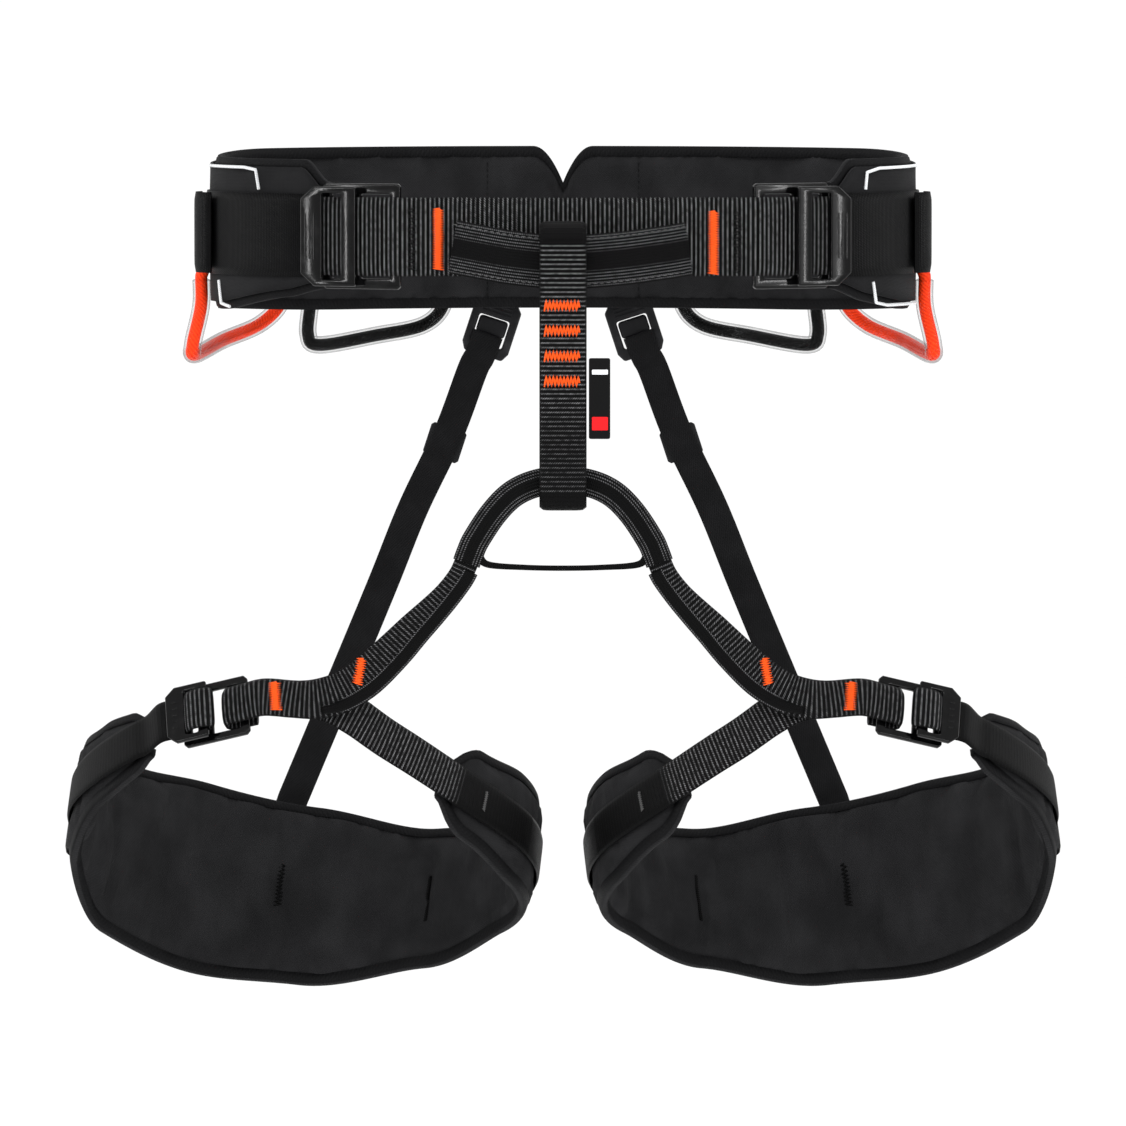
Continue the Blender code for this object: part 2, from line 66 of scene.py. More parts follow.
# The rings that the belt and the leg loops follow, as in the frame.
WAIST_HALF_WIDTH = 0.181
WAIST_HALF_DEPTH = 0.101
PAD_ENDS = (50.0, 318.0)
WAIST_BUCKLES = {"left": -35.5, "right": 41.0}
LEG_CENTRE = (0.1365, -0.010, -0.317)
LEG_HALF_WIDTH = 0.118
LEG_HALF_DEPTH = 0.085
LEG_RISE = 0.043
LEG_SIDE_RISE = 0.0145
LEG_FRONT_LIFT = 0.026
LEG_BUCKLE_ANGLE = 22.0
LEG_PAD_EDGES = (
    (42.0, 0.015, 0.020),
    (62.0, 0.020, 0.026),
    (90.0, 0.036, 0.033),
    (120.0, 0.053, 0.045),
    (150.0, 0.056, 0.052),
    (180.0, 0.051, 0.051),
    (214.0, 0.039, 0.041),
    (244.0, 0.028, 0.035),
    (290.0, 0.029, 0.033),
    (312.0, 0.023, 0.029),
    (322.0, 0.015, 0.020),
)
WEBBING_HEIGHT = 0.0435
LEG_STRAP_WIDTH = 0.0228
RIB_PITCH = 0.0024  # ribs across the load webbing
RIB_HEIGHT = 0.00028
UP = np.array([0.0, 0.0, 1.0])


# ---------------------------------------------------------------- numbers
def blend(start, end, value):
    """0 below start, 1 above end, smooth between."""
    t = np.clip((value - start) / (end - start), 0.0, 1.0)
    return t * t * (3 - 2 * t)


def unit(rows):
    """Each row of an array made one long."""
    rows = np.asarray(rows, float)
    return rows / np.maximum(np.linalg.norm(rows, axis=-1, keepdims=True), 1e-12)


def curve_through(values, per_span=12, ring=False):
    """Rows of numbers joined by a smooth curve."""
    values = np.asarray(values, float)
    if ring:
        padded = np.vstack([values[-1], values, values[0], values[1]])
    else:
        padded = np.vstack([2 * values[0] - values[1], values, 2 * values[-1] - values[-2]])
    t = (np.arange(per_span) / per_span)[:, None]
    made = []
    for a, b, c, d in zip(padded, padded[1:], padded[2:], padded[3:]):
        made.append(
            0.5 * (2 * b + (c - a) * t + (2 * a - 5 * b + 4 * c - d) * t**2 + (3 * b - a - 3 * c + d) * t**3)
        )
    made = np.vstack(made)
    return made if ring else np.vstack([made, values[-1]])


def evenly(values, step, ring=False):
    """The curve's rows spaced by step along its first three numbers, and each row's distance along."""
    if ring:
        values = np.vstack([values, values[0]])
    along = distances(values[:, :3])
    count = max(4, round(along[-1] / step)) + 1
    places = np.linspace(0, along[-1], count)
    rows = np.column_stack([np.interp(places, along, column) for column in values.T])
    return (rows[:-1], places[:-1]) if ring else (rows, places)


def distances(points):
    """How far along a path each of its points lies."""
    return np.concatenate([[0.0], np.cumsum(np.linalg.norm(np.diff(points, axis=0), axis=1))])


def directions(points, ring=False):
    """The way a path runs at each of its points."""
    if ring:
        return unit(np.roll(points, -1, axis=0) - np.roll(points, 1, axis=0))
    return unit(np.gradient(points, axis=0))


def hashed(values):
    """A repeatable number from 0 to 1 for each value."""
    return np.modf(np.abs(np.sin(np.asarray(values, float) * 12.9898) * 43758.5453))[0]


# ---------------------------------------------------------------- meshes
def skin(name, grid, across, along, surface, strength=0.0, ring=False):
    """A closed-round grid of points made a mesh with lengths across and along stored as UVs."""
    rows, loop = grid.shape[:2]
    mesh = bpy.data.meshes.new(name)
    index = np.arange(rows * loop).reshape(rows, loop)
    first, following = (index, np.roll(index, -1, axis=0)) if ring else (index[:-1], index[1:])
    corners = [first, np.roll(first, -1, axis=1), np.roll(following, -1, axis=1), following]
    faces = np.stack(corners, axis=-1).reshape(-1, 4).tolist()
    if not ring:
        faces += [index[0][::-1].tolist(), index[-1].tolist()]
    mesh.from_pydata(grid.reshape(-1, 3).tolist(), [], faces)
    lay = np.empty((rows, loop, 2), np.float32)
    lay[..., 0] = across
    lay[..., 1] = np.reshape(along, (-1, 1))
    used = np.empty(len(mesh.loops), np.int32)
    mesh.loops.foreach_get("vertex_index", used)
    mesh.uv_layers.new(name="lay").data.foreach_set("uv", lay.reshape(-1, 2)[used].ravel())
    raised = np.empty((rows, loop), np.float32)
    raised[:] = np.reshape(strength, (-1, 1))
    mesh.attributes.new("ribs", "FLOAT", "POINT").data.foreach_set("value", raised.ravel())
    return place(name, mesh, surface)


def place(name, mesh, surface):
    """Links a mesh as a smooth object whose faces point out."""
    bm = bmesh.new()
    bm.from_mesh(mesh)
    bmesh.ops.recalc_face_normals(bm, faces=bm.faces)
    bm.to_mesh(mesh)
    bm.free()
    mesh.polygons.foreach_set("use_smooth", [True] * len(mesh.polygons))
    mesh.materials.append(surface)
    obj = bpy.data.objects.new(name, mesh)
    bpy.context.scene.collection.objects.link(obj)
    return obj


def strip_section(points):
    """Across and through, from -1 to 1, round a strap's section."""
    across = np.linspace(-1, 1, points)
    across = np.sign(across) * np.abs(across) ** 0.75
    bulge = (1 - np.abs(across) ** 8) ** 0.5
    bulge[[0, -1]] = 0.18
    return np.concatenate([across, across[::-1]]), np.concatenate([bulge, -bulge[::-1]])


def webbing(name, rows, surface, thick=0.002, ribs=0.0, step=0.0022, ring=False, bow=0.0, points=9, plies=1):
    """A strap along rows of (x, y, z, across x, y, z, width).

    ribs is how far its ribs are raised, from 0 to 1: a number or a function of the distance along.
    """
    rows, along = evenly(curve_through(rows, ring=ring), RIB_PITCH / 4 if ribs else step, ring)
    path = rows[:, :3]
    ahead = directions(path, ring)
    side = unit(rows[:, 3:6] - ahead * np.sum(rows[:, 3:6] * ahead, axis=1, keepdims=True))
    out = np.cross(ahead, side)
    strength = ribs(along) if callable(ribs) else np.full(len(along), ribs)
    across, through = strip_section(points)
    wave = np.maximum(0, np.cos(2 * math.pi * along / RIB_PITCH) * strength * RIB_HEIGHT)
    half = thick / 2 + np.outer(wave, (1 - np.abs(across) ** 6) * np.abs(through))
    if plies > 1:
        half = half * (1 - 0.10 * np.exp(-((np.abs(through) - 0.2) ** 2) / 0.02))
    lay = across * rows[:, 6:7] / 2
    lift = half * through + bow * (1 - across**2)
    grid = path[:, None] + side[:, None] * lay[..., None] + out[:, None] * lift[..., None]
    return skin(name, grid, lay, along, surface, strength, ring)


def thread(name, points, radius, surface, sides=5):
    """A round thread or cord along points that are already close together."""
    points = np.asarray(points, float)
    ahead = directions(points)
    side = np.cross(ahead[0], [0.31, 0.52, 0.79])
    circles = []
    turn = 2 * math.pi * np.arange(sides) / sides
    for point, way in zip(points, ahead):
        side = unit(side - way * np.dot(side, way))
        other = np.cross(way, side)
        circles.append(point + radius * (np.cos(turn)[:, None] * side + np.sin(turn)[:, None] * other))
    across = np.concatenate([[0.0], np.full(sides - 1, radius)]) * turn
    return skin(name, np.array(circles), across, distances(points), surface)


def surface_of(obj):
    """An object's faces, ready to be searched along a line."""
    mesh = obj.data
    return BVHTree.FromPolygons([v.co for v in mesh.vertices], [p.vertices[:] for p in mesh.polygons])


def tack(name, base, centre, run, across, out, length, width, surface, pitch=0.00125, radius=0.00042):
    """A bar tack on a piece: a zigzag of thread, length along run and width along across."""
    run, across, out = unit(run), unit(across), unit(out)
    tree = surface_of(base)
    turns = max(4, round(length / pitch))
    corners = []
    for i in range(2 * turns + 1):
        share = i / (2 * turns) - 0.5
        reach = (width / 2) * (1 if i % 2 else -1) * (0.88 + 0.12 * float(hashed(i + 7.3)))
        corners.append(np.asarray(centre) + run * length * share + across * reach)
    points = []
    for a, b in zip(corners, corners[1:]):
        for t in (0.0, 0.34, 0.67):
            point = a + (b - a) * t
            hit = tree.ray_cast(Vector(point + out * 0.008), Vector(-out), 0.02)[0]
            if hit is not None:
                point = np.array(hit)
            points.append(point + out * radius * (0.15 if t == 0 else 0.75))
    return thread(name, points, radius, surface, sides=4)


def stitch_row(name, points, out, surface, spacing):
    """A row of separate stitches along a path, each a short sunken thread."""
    radius = 0.00022
    rows, _along = evenly(np.column_stack([points, out]), spacing / 6)
    bow = radius * np.sin(np.linspace(0, math.pi, 5))[:, None]
    sizes = radius * np.sin(np.linspace(0.35, math.pi - 0.35, 5))
    bm = bmesh.new()
    for start in range(0, len(rows) - 6, 6):
        part = rows[start : start + 5]
        middle = part[:, :3] + unit(part[:, 3:6]) * bow
        ahead = directions(middle)
        side = unit(np.cross(ahead, rows[0, 3:6]))
        other = np.cross(ahead, side)
        loops = [
            [bm.verts.new(p + size * way) for way in (s, o, -s, -o)]
            for p, s, o, size in zip(middle, side, other, sizes)
        ]
        for first, second in zip(loops, loops[1:]):
            for i in range(4):
                bm.faces.new((first[i - 1], first[i], second[i], second[i - 1]))
        bm.faces.new(loops[0][::-1])
        bm.faces.new(loops[-1])
    mesh = bpy.data.meshes.new(name)
    bm.to_mesh(mesh)
    bm.free()
    return place(name, mesh, surface)


def outline(points, radius):
    """A polygon's corners rounded; points are (x, y)."""
    points = [Vector(p) for p in points]
    made = []
    for last, corner, following in zip(points[-1:] + points, points, points[1:] + points[:1]):
        before, after = last - corner, following - corner
        reach = min(radius / math.tan(before.angle(after) / 2), before.length * 0.48, after.length * 0.48)
        start = corner + before.normalized() * reach
        end = corner + after.normalized() * reach
        for t in (0, 0.2, 0.4, 0.6, 0.8, 1):
            made.append(start * (1 - t) ** 2 + corner * 2 * t * (1 - t) + end * t**2)
    return made


def moulded(name, loops, depth, bevel, matrix, surface):
    """A plate with rounded edges from flat outlines: the first is its edge and the rest are holes."""
    curve = bpy.data.curves.new(name, "CURVE")
    curve.dimensions = "2D"
    curve.fill_mode = "BOTH"
    curve.extrude = depth / 2 - bevel
    curve.bevel_depth = bevel
    curve.bevel_resolution = 3
    curve.offset = -bevel
    for loop in loops:
        spline = curve.splines.new("POLY")
        spline.points.add(len(loop) - 1)
        for point, place_ in zip(spline.points, loop):
            point.co = (place_[0], place_[1], 0, 1)
        spline.use_cyclic_u = True
    holder = bpy.data.objects.new(name, curve)
    bpy.context.scene.collection.objects.link(holder)
    graph = bpy.context.evaluated_depsgraph_get()
    mesh = bpy.data.meshes.new_from_object(holder.evaluated_get(graph))
    bpy.data.objects.remove(holder, do_unlink=True)
    mesh.materials.clear()
    mesh.transform(matrix)
    bm = bmesh.new()
    bm.from_mesh(mesh)
    bmesh.ops.remove_doubles(bm, verts=bm.verts, dist=2e-6)
    bm.to_mesh(mesh)
    bm.free()
    obj = place(name, mesh, surface)
    mesh.set_sharp_from_angle(angle=math.radians(40))
    return obj


def rounded_box(left, right, low, high, radius):
    """A rectangle's outline with rounded corners."""
    return outline([(left, low), (right, low), (right, high), (left, high)], radius)


# ---------------------------------------------------------------- materials
BLACK = (0.0008, 0.0008, 0.0009)


class Value:
    """A number at each point of a surface: a node's output that takes part in arithmetic."""

    def __init__(self, nodes, socket):
        self.nodes = nodes
        self.socket = socket

    def __add__(self, other):
        return self.nodes.math("ADD", self, other)

    def __mul__(self, other):
        return self.nodes.math("MULTIPLY", self, other)

    def __rsub__(self, other):
        return self.nodes.math("SUBTRACT", other, self)

    def size(self):
        """The value without its sign."""
        return self.nodes.math("ABSOLUTE", self)

    def wave(self, pitch):
        """A smooth wave from 0 to 1 along a length."""
        return self.nodes.math("COSINE", self * (2 * math.pi / pitch)) * 0.5 + 0.5

    def step(self, low, high):
        """0 below low, 1 above high, smooth between."""
        inputs = {"Value": self, "From Min": low, "From Max": high}
        return self.nodes.value("ShaderNodeMapRange", "Result", inputs, interpolation_type="SMOOTHSTEP")


class Nodes:
    """A material's node tree."""

    def __init__(self, name, roughness, sheen=0.0, coat=0.0, ior=1.15):
        self.material = bpy.data.materials.new(name)
        self.material.use_nodes = True
        self.tree = self.material.node_tree
        self.shader = self.tree.nodes["Principled BSDF"]
        self.fill(self.shader, {
            "Roughness": roughness,
            "Sheen Weight": sheen,
            "Sheen Roughness": 0.4,
            "Coat Weight": coat,
            "Coat Roughness": 0.08,
            "IOR": ior,
        })

    def fill(self, node, inputs):
        """Links each input to a value or an output, or stores a number or a colour in it."""
        for key, value in inputs.items():
            value = getattr(value, "socket", value)
            if isinstance(value, bpy.types.NodeSocket):
                self.tree.links.new(value, node.inputs[key])
            else:
                node.inputs[key].default_value = value
        return node

    def output(self, kind, output, inputs, **settings):
        """A new node's output."""
        node = self.tree.nodes.new(kind)
        for key, value in settings.items():
            setattr(node, key, value)
        return self.fill(node, inputs).outputs[output]

    def value(self, kind, output, inputs, **settings):
        """A new node's output, ready for arithmetic."""
        return Value(self, self.output(kind, output, inputs, **settings))

    def math(self, operation, *values):
        """One step of arithmetic."""
        return self.value("ShaderNodeMath", 0, dict(enumerate(values)), operation=operation)

    def lay(self):
        """Metres across and along the cloth."""
        self.vector = self.output("ShaderNodeUVMap", 0, {}, uv_map="lay")
        return [self.value("ShaderNodeSeparateXYZ", i, {0: self.vector}) for i in range(2)]

    def noise(self, scale, detail):
        """Uneven values about a half, by place on the surface."""
        inputs = {"Vector": self.vector, "Scale": scale, "Detail": detail}
        return self.value("ShaderNodeTexNoise", "Fac", inputs)

    def colour(self, share, dark, light):
        """Sets the base colour, from dark at 0 to light at 1."""
        inputs = {0: share, 6: (*dark, 1.0), 7: (*light, 1.0)}
        self.fill(self.shader, {"Base Color": self.output("ShaderNodeMix", 2, inputs, data_type="RGBA")})

    def bump(self, height, distance, strength=1.0):
        """Raises the surface by height times distance."""
        inputs = {"Strength": strength, "Distance": distance, "Height": height}
        self.fill(self.shader, {"Normal": self.output("ShaderNodeBump", "Normal", inputs)})


def ribbed_surface(name, yarn, half_width):
    """Load webbing: raised grey ribs of twisted yarn on black, and a black selvedge."""
    nodes = Nodes(name, roughness=0.62)
    across, along = nodes.lay()
    strength = nodes.value("ShaderNodeAttribute", "Fac", {}, attribute_name="ribs")
    rib = along.wave(RIB_PITCH).step(0.58, 0.92)
    twist = (along * 1.3 + across).wave(0.0012).step(0.22, 0.80)
    edge = 1.0 - across.size().step(half_width * 0.90, half_width)
    uneven = nodes.noise(420.0, 3.0).step(0.32, 0.66)
    nodes.colour(rib * twist * (edge * strength) * (uneven * 0.75 + 0.25), BLACK, yarn)
    fine = across.wave(0.0009) * along.wave(0.0008)
    nodes.bump(twist * rib + fine * 0.3, 0.00022)
    return nodes.material


def smooth_surface(name, dark, light, pitch=0.0011, roughness=0.42):
    """Tight black webbing with fine ribs and a soft sheen."""
    nodes = Nodes(name, roughness=roughness, ior=1.11)
    across, along = nodes.lay()
    yarn = (along * 0.5 + across).wave(0.0013)
    weave = yarn * 0.35 + along.wave(pitch) * 0.65
    worn = nodes.noise(60.0, 4.0).step(0.35, 0.75)
    nodes.colour(weave * (worn * 0.5 + 0.5), dark, light)
    nodes.fill(nodes.shader, {"Roughness": worn * 0.14 + (roughness - 0.05)})
    nodes.bump(weave, 0.00022, 0.9)
    return nodes.material


def sleeve_surface(name, half_width):
    """Protected webbing: rows of yarn along its length, grey at the sides and black in the middle."""
    nodes = Nodes(name, roughness=0.6)
    across, along = nodes.lay()
    rows = across.wave(0.0016)
    dash = (across * 0.6 + along).wave(0.0012).step(0.15, 0.7)
    away = across.size().step(half_width * 0.30, half_width * 0.42)
    edge = 1.0 - across.size().step(half_width * 0.90, half_width)
    uneven = nodes.noise(300.0, 3.0).step(0.3, 0.6)
    light = rows.step(0.45, 0.9) * dash * (away * edge) * (uneven * 0.55 + 0.35)
    nodes.colour(light, BLACK, (0.11, 0.11, 0.114))
    nodes.bump(rows + dash * 0.4, 0.0003)
    return nodes.material


def lining_surface(name, base, light):
    """Soft spacer-knit lining: fine diamond holes, faint creases and cloudy wear."""
    nodes = Nodes(name, roughness=0.88, sheen=0.012, ior=1.12)
    across, along = nodes.lay()
    knit = (across + along).wave(0.0014) * (across + along * -1.0).wave(0.0014)
    cloud = nodes.noise(34.0, 5.0).step(0.3, 0.75)
    nodes.colour(knit * 0.35 + cloud * 0.65, base, light)
    nodes.vector = nodes.output("ShaderNodeMapping", 0, {"Vector": nodes.vector, "Scale": (14.0, 95.0, 1.0)})
    nodes.bump(nodes.noise(1.0, 3.0) * 9.0 + knit, 0.00028, 0.8)
    return nodes.material


def shell_surface(name, base, light):
    """Plain-woven outer cloth of the pads."""
    nodes = Nodes(name, roughness=0.72, sheen=0.01)
    across, along = nodes.lay()
    weave = across.wave(0.00085) * along.wave(0.00085)
    cloud = nodes.noise(40.0, 4.0).step(0.3, 0.75)
    nodes.colour(weave * 0.5 + cloud * 0.5, base, light)
    nodes.bump(cloud * 0.6 + weave, 0.0002, 0.8)
    return nodes.material


def thread_surface(name, dark, light, roughness=0.55, pitch=0.0009):
    """Twisted thread or cord."""
    nodes = Nodes(name, roughness=roughness)
    across, along = nodes.lay()
    ply = (across * 0.8 + along).wave(pitch)
    nodes.colour(ply * 0.7 + nodes.noise(700.0, 2.0).step(0.3, 0.7) * 0.3, dark, light)
    nodes.bump(ply, 0.0001)
    return nodes.material


def hard_surface(name, base, light, roughness, coat, ior):
    """Metal or plastic with a faint grain and slightly rubbed high spots."""
    nodes = Nodes(name, roughness=roughness, coat=coat, ior=ior)
    nodes.vector = nodes.output("ShaderNodeTexCoord", "Object", {})
    rubbed = nodes.noise(130.0, 5.0).step(0.48, 0.8)
    nodes.colour(rubbed, base, light)
    nodes.fill(nodes.shader, {"Roughness": rubbed * 0.07 + roughness})
    nodes.bump(nodes.noise(900.0, 2.0), 0.00004, 0.5)
    return nodes.material


def tube_surface(name):
    """Clear tube: nearly unseen face on, grey and glossy at its edges."""
    nodes = Nodes(name, roughness=0.10, coat=0.1, ior=1.40)
    nodes.lay()
    facing = nodes.output("ShaderNodeLayerWeight", "Facing", {"Blend": 0.5})
    haze = nodes.noise(70.0, 3.0).step(0.5, 0.8) * 0.14
    nodes.fill(nodes.shader, {"Alpha": nodes.math("POWER", facing, 1.9) * 0.95 + haze})
    nodes.colour(nodes.noise(60.0, 2.0).step(0.2, 0.8), (0.06, 0.062, 0.064), (0.18, 0.185, 0.19))
    return nodes.material


ribbed = ribbed_surface("ribbed_webbing", (0.21, 0.21, 0.216), WEBBING_HEIGHT / 2)
ribbed_narrow = ribbed_surface("ribbed_webbing_narrow", (0.22, 0.22, 0.226), 0.0122)
smooth_ribbed = ribbed_surface("leg_ribbed_webbing", (0.20, 0.20, 0.206), LEG_STRAP_WIDTH / 2)
rolled_edge = sleeve_surface("rolled_edge", 0.0060)
ribbed_leg = ribbed_surface("leg_front_webbing", (0.15, 0.15, 0.155), 0.0108)
smooth = smooth_surface("smooth_webbing", (0.0004, 0.0004, 0.0005), (0.0050, 0.0050, 0.0053))
elastic = smooth_surface("elastic_webbing", (0.0030, 0.0030, 0.0032), (0.0130, 0.0130, 0.0138), 0.0007, 0.62)
sleeve = sleeve_surface("sleeved_webbing", 0.0140)
sleeve_narrow = sleeve_surface("sleeved_webbing_narrow", 0.0080)
lining = lining_surface("pad_lining", (0.0085, 0.0085, 0.009), (0.0185, 0.0185, 0.0195))
shell = shell_surface("pad_shell", (0.0055, 0.0055, 0.006), (0.0130, 0.0130, 0.0138))
binding = smooth_surface("pad_binding", (0.0035, 0.0035, 0.0038), (0.0100, 0.0100, 0.0106), 0.0009, 0.6)
orange_thread = thread_surface("orange_thread", (0.62, 0.055, 0.006), (1.0, 0.125, 0.018))
black_thread = thread_surface("black_thread", (0.0006, 0.0006, 0.0006), (0.004, 0.004, 0.0042))
grey_thread = thread_surface("grey_thread", (0.03, 0.03, 0.03), (0.10, 0.10, 0.10))
orange_cord = thread_surface("orange_cord", (0.60, 0.022, 0.004), (0.90, 0.055, 0.010), 0.5, 0.0022)
black_cord = thread_surface("black_cord", (0.0008, 0.0008, 0.0008), (0.005, 0.005, 0.005), 0.5, 0.0022)
piping = thread_surface("reflective_piping", (0.42, 0.43, 0.44), (0.72, 0.73, 0.74), 0.35, 0.0012)
metal = hard_surface("black_metal", (0.0010, 0.0010, 0.0011), (0.004, 0.004, 0.0042), 0.12, 0.02, 1.24)
plastic = hard_surface("grey_plastic", (0.008, 0.008, 0.009), (0.018, 0.018, 0.0195), 0.38, 0.0, 1.22)
tube_clear = tube_surface("clear_tube")
red_patch = thread_surface("red_patch", (0.35, 0.004, 0.006), (0.60, 0.012, 0.015), 0.6, 0.0008)


# ---------------------------------------------------------------- places
def waist(degrees, out=0.0, z=0.0):
    """Points round the belt: 0 degrees is the front and 90 the right; out is off the pad's middle."""
    turn = np.radians(np.asarray(degrees, float))
    ring = np.stack([WAIST_HALF_WIDTH * np.sin(turn), -WAIST_HALF_DEPTH * np.cos(turn)], axis=-1)
    normal = unit(np.stack([WAIST_HALF_DEPTH * np.sin(turn), -WAIST_HALF_WIDTH * np.cos(turn)], axis=-1))
    flat = ring + normal * np.broadcast_to(out, turn.shape)[..., None]
    return np.concatenate([flat, np.broadcast_to(z, turn.shape)[..., None]], axis=-1)


def belt_outward(degrees):
    """The way out of the belt at an angle."""
    return unit(waist(degrees, 1.0) - waist(degrees, 0.0))


def arched(share):
    """0 at -1 and 1, and 1 between them at 0."""
    return max(0.0, math.cos(share * math.pi / 2))


def waist_rows(start, end, out, z=0.0, width=0.0435, count=60, across=(0, 0, 1)):
    """Strap rows round the belt; out, z and width are numbers or functions of the angle."""
    turn = np.linspace(start, end, count)
    value = [np.array([f(a) for a in turn]) if callable(f) else np.full(count, f) for f in (out, z, width)]
    points = waist(turn, value[0], value[1])
    return np.column_stack([points, np.tile(across, (count, 1)), value[2]])


def waist_matrix(degrees, out):
    """A frame on the belt: x away from the harness's middle, y up and z outward."""
    outward = belt_outward(degrees)
    away = np.cross(UP, outward) * (-1 if degrees < 0 else 1)
    return Matrix(np.column_stack([away, UP, outward]).tolist()).to_4x4(), waist(degrees, out)


def leg_middle(side, degrees):
    """The middle of the pad at an angle round a leg loop: 0 is the front and 90 its outer side."""
    sin = math.sin(math.radians(degrees))
    cos = math.cos(math.radians(degrees))
    lift = LEG_FRONT_LIFT * max(0.0, cos) ** (3 if sin > -0.15 else 6)
    return np.array([
        side * (LEG_CENTRE[0] + LEG_HALF_WIDTH * sin),
        LEG_CENTRE[1] - LEG_HALF_DEPTH * cos,
        LEG_CENTRE[2] + LEG_SIDE_RISE * sin + LEG_RISE * cos + lift,
    ])


def leg_frame(side, degrees):
    """(point, along, outward, up) at an angle round a leg loop."""
    along = unit(leg_middle(side, degrees + 1) - leg_middle(side, degrees - 1))
    axis = unit(np.array([-side * LEG_SIDE_RISE / LEG_HALF_WIDTH, LEG_RISE / LEG_HALF_DEPTH, 1.0]))
    up = unit(axis - along * np.dot(axis, along))
    return leg_middle(side, degrees), along, np.cross(along, up) * side, up


def leg_rows(side, start, end, out, rise=0.0, width=LEG_STRAP_WIDTH, count=40):
    """Strap rows round a leg loop; out, rise and width are numbers or functions of the angle."""
    rows = []
    for degrees in np.linspace(start, end, count):
        point, _along, outward, up = leg_frame(side, degrees)
        off, lift, wide = [f(degrees) if callable(f) else f for f in (out, rise, width)]
        # The strap's own outward side follows from its direction and this across.
        rows.append([*(point + off * outward + lift * up), *(up * side), wide])
    return np.array(rows)


def leg_matrix(side, degrees, out):
    """A frame on a leg loop: x away from the harness's middle, y up and z outward."""
    point, along, outward, up = leg_frame(side, degrees)
    away = along if along[0] * side > 0 else -along
    return Matrix(np.column_stack([away, up, outward]).tolist()).to_4x4(), point + out * outward


def axes_of(matrix):
    """A frame's three axes: away, up and outward."""
    return [np.array(matrix.col[i][:3]) for i in range(3)]


def seated(matrix, point):
    """The frame moved to a point."""
    return Matrix.Translation(Vector(point)) @ matrix


def table_value(table, place):
    """A row's numbers between those of a table, smooth between its rows."""
    for (start, *first), (end, *second) in zip(table, table[1:]):
        if place <= end:
            share = blend(start, end, place)
            return [a + (b - a) * share for a, b in zip(first, second)]
    return list(table[-1][1:])


def mirrored(corners):
    """Half a plate's corners and their mirror images, in order round its edge."""
    return corners + [(x, -y) for x, y in corners[::-1]]


def finished(obj, body, slot, *nodes):
    """Fixes a piece to its body and hides the frame's parts that it stands for; slot is not used."""
    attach(obj, body)
    if nodes:
        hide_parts(*nodes)
    return obj


# ---------------------------------------------------------------- pads
PAD_HALF = 0.0041
TURN = 6.28  # about a full turn, for spreading out phases
BINDING_HALF = 0.0040
BINDING_REACH = 0.0055
FILL_FRAMES = 14
CLOTH = {
    "quality": 5,
    "mass": 0.2,
    "vertex_group_mass": "pinned",
    "use_pressure": True,
    "uniform_pressure_force": 3.0,
    "shrink_min": -0.035,
    "tension_stiffness": 12,
    "compression_stiffness": 12,
    "shear_stiffness": 6,
    "bending_stiffness": 0.08,
}


def puff(obj, pinned, cap):
    """Fills a pad's cover for a few frames while its seams stay put, then keeps that shape."""
    group = obj.vertex_groups.new(name="pinned")
    group.add([int(i) for i in np.flatnonzero(pinned)], 1.0, "REPLACE")
    cloth = obj.modifiers.new("fill", "CLOTH")
    for key, value in CLOTH.items():
        setattr(cloth.settings, key, value)
    cloth.settings.effector_weights.gravity = 0
    cloth.point_cache.frame_end = FILL_FRAMES
    rest = points_of(obj)
    scene = bpy.context.scene
    for number in range(1, FILL_FRAMES + 1):
        scene.frame_set(number)
    moved = points_of(obj.evaluated_get(bpy.context.evaluated_depsgraph_get())) - rest
    obj.modifiers.remove(cloth)
    obj.vertex_groups.remove(group)
    size = np.linalg.norm(moved, axis=1, keepdims=True)
    moved *= cap * np.tanh(size / cap) / np.maximum(size, 1e-9)
    obj.data.vertices.foreach_set("co", (rest + moved).astype(np.float32).ravel())
    obj.data.update()
    scene.frame_set(1)


def points_of(obj):
    """A mesh object's points as rows."""
    flat = np.empty(len(obj.data.vertices) * 3, np.float32)
    obj.data.vertices.foreach_get("co", flat)
    return flat.reshape(-1, 3).astype(float)


def ripple(first, second, seed):
    """Soft uneven values from -1 to 1 over two lengths in metres."""
    total = 0.0
    for i in range(7):
        angle, phase, pitch = hashed([seed + i, seed + 20.5 + i, seed + 41.7 + i])
        wave = 2 * math.pi / (0.018 + 0.05 * pitch)
        way = first * math.cos(TURN * angle) + second * math.sin(TURN * angle)
        total = total + np.sin(wave * way + TURN * phase)
    return total / 7


def creases(height, place_, length, seed):
    """Soft folds that run up and down a pad, deepest towards its ends, from about -1 to 1."""
    total = 0.0
    for i in range(6):
        lean, phase, pitch = hashed([seed + 3.1 * i, seed + 11.5 + i, seed + 29.7 + 2 * i])
        wave = 2 * math.pi / (0.010 + 0.022 * pitch)
        total = total + np.sin(wave * (place_ + height * (lean - 0.5) * 0.9) + TURN * phase)
    near = min(place_, length - place_)
    return total / 3 * (0.30 + 0.70 * (1 - blend(0.03, 0.11, near)))


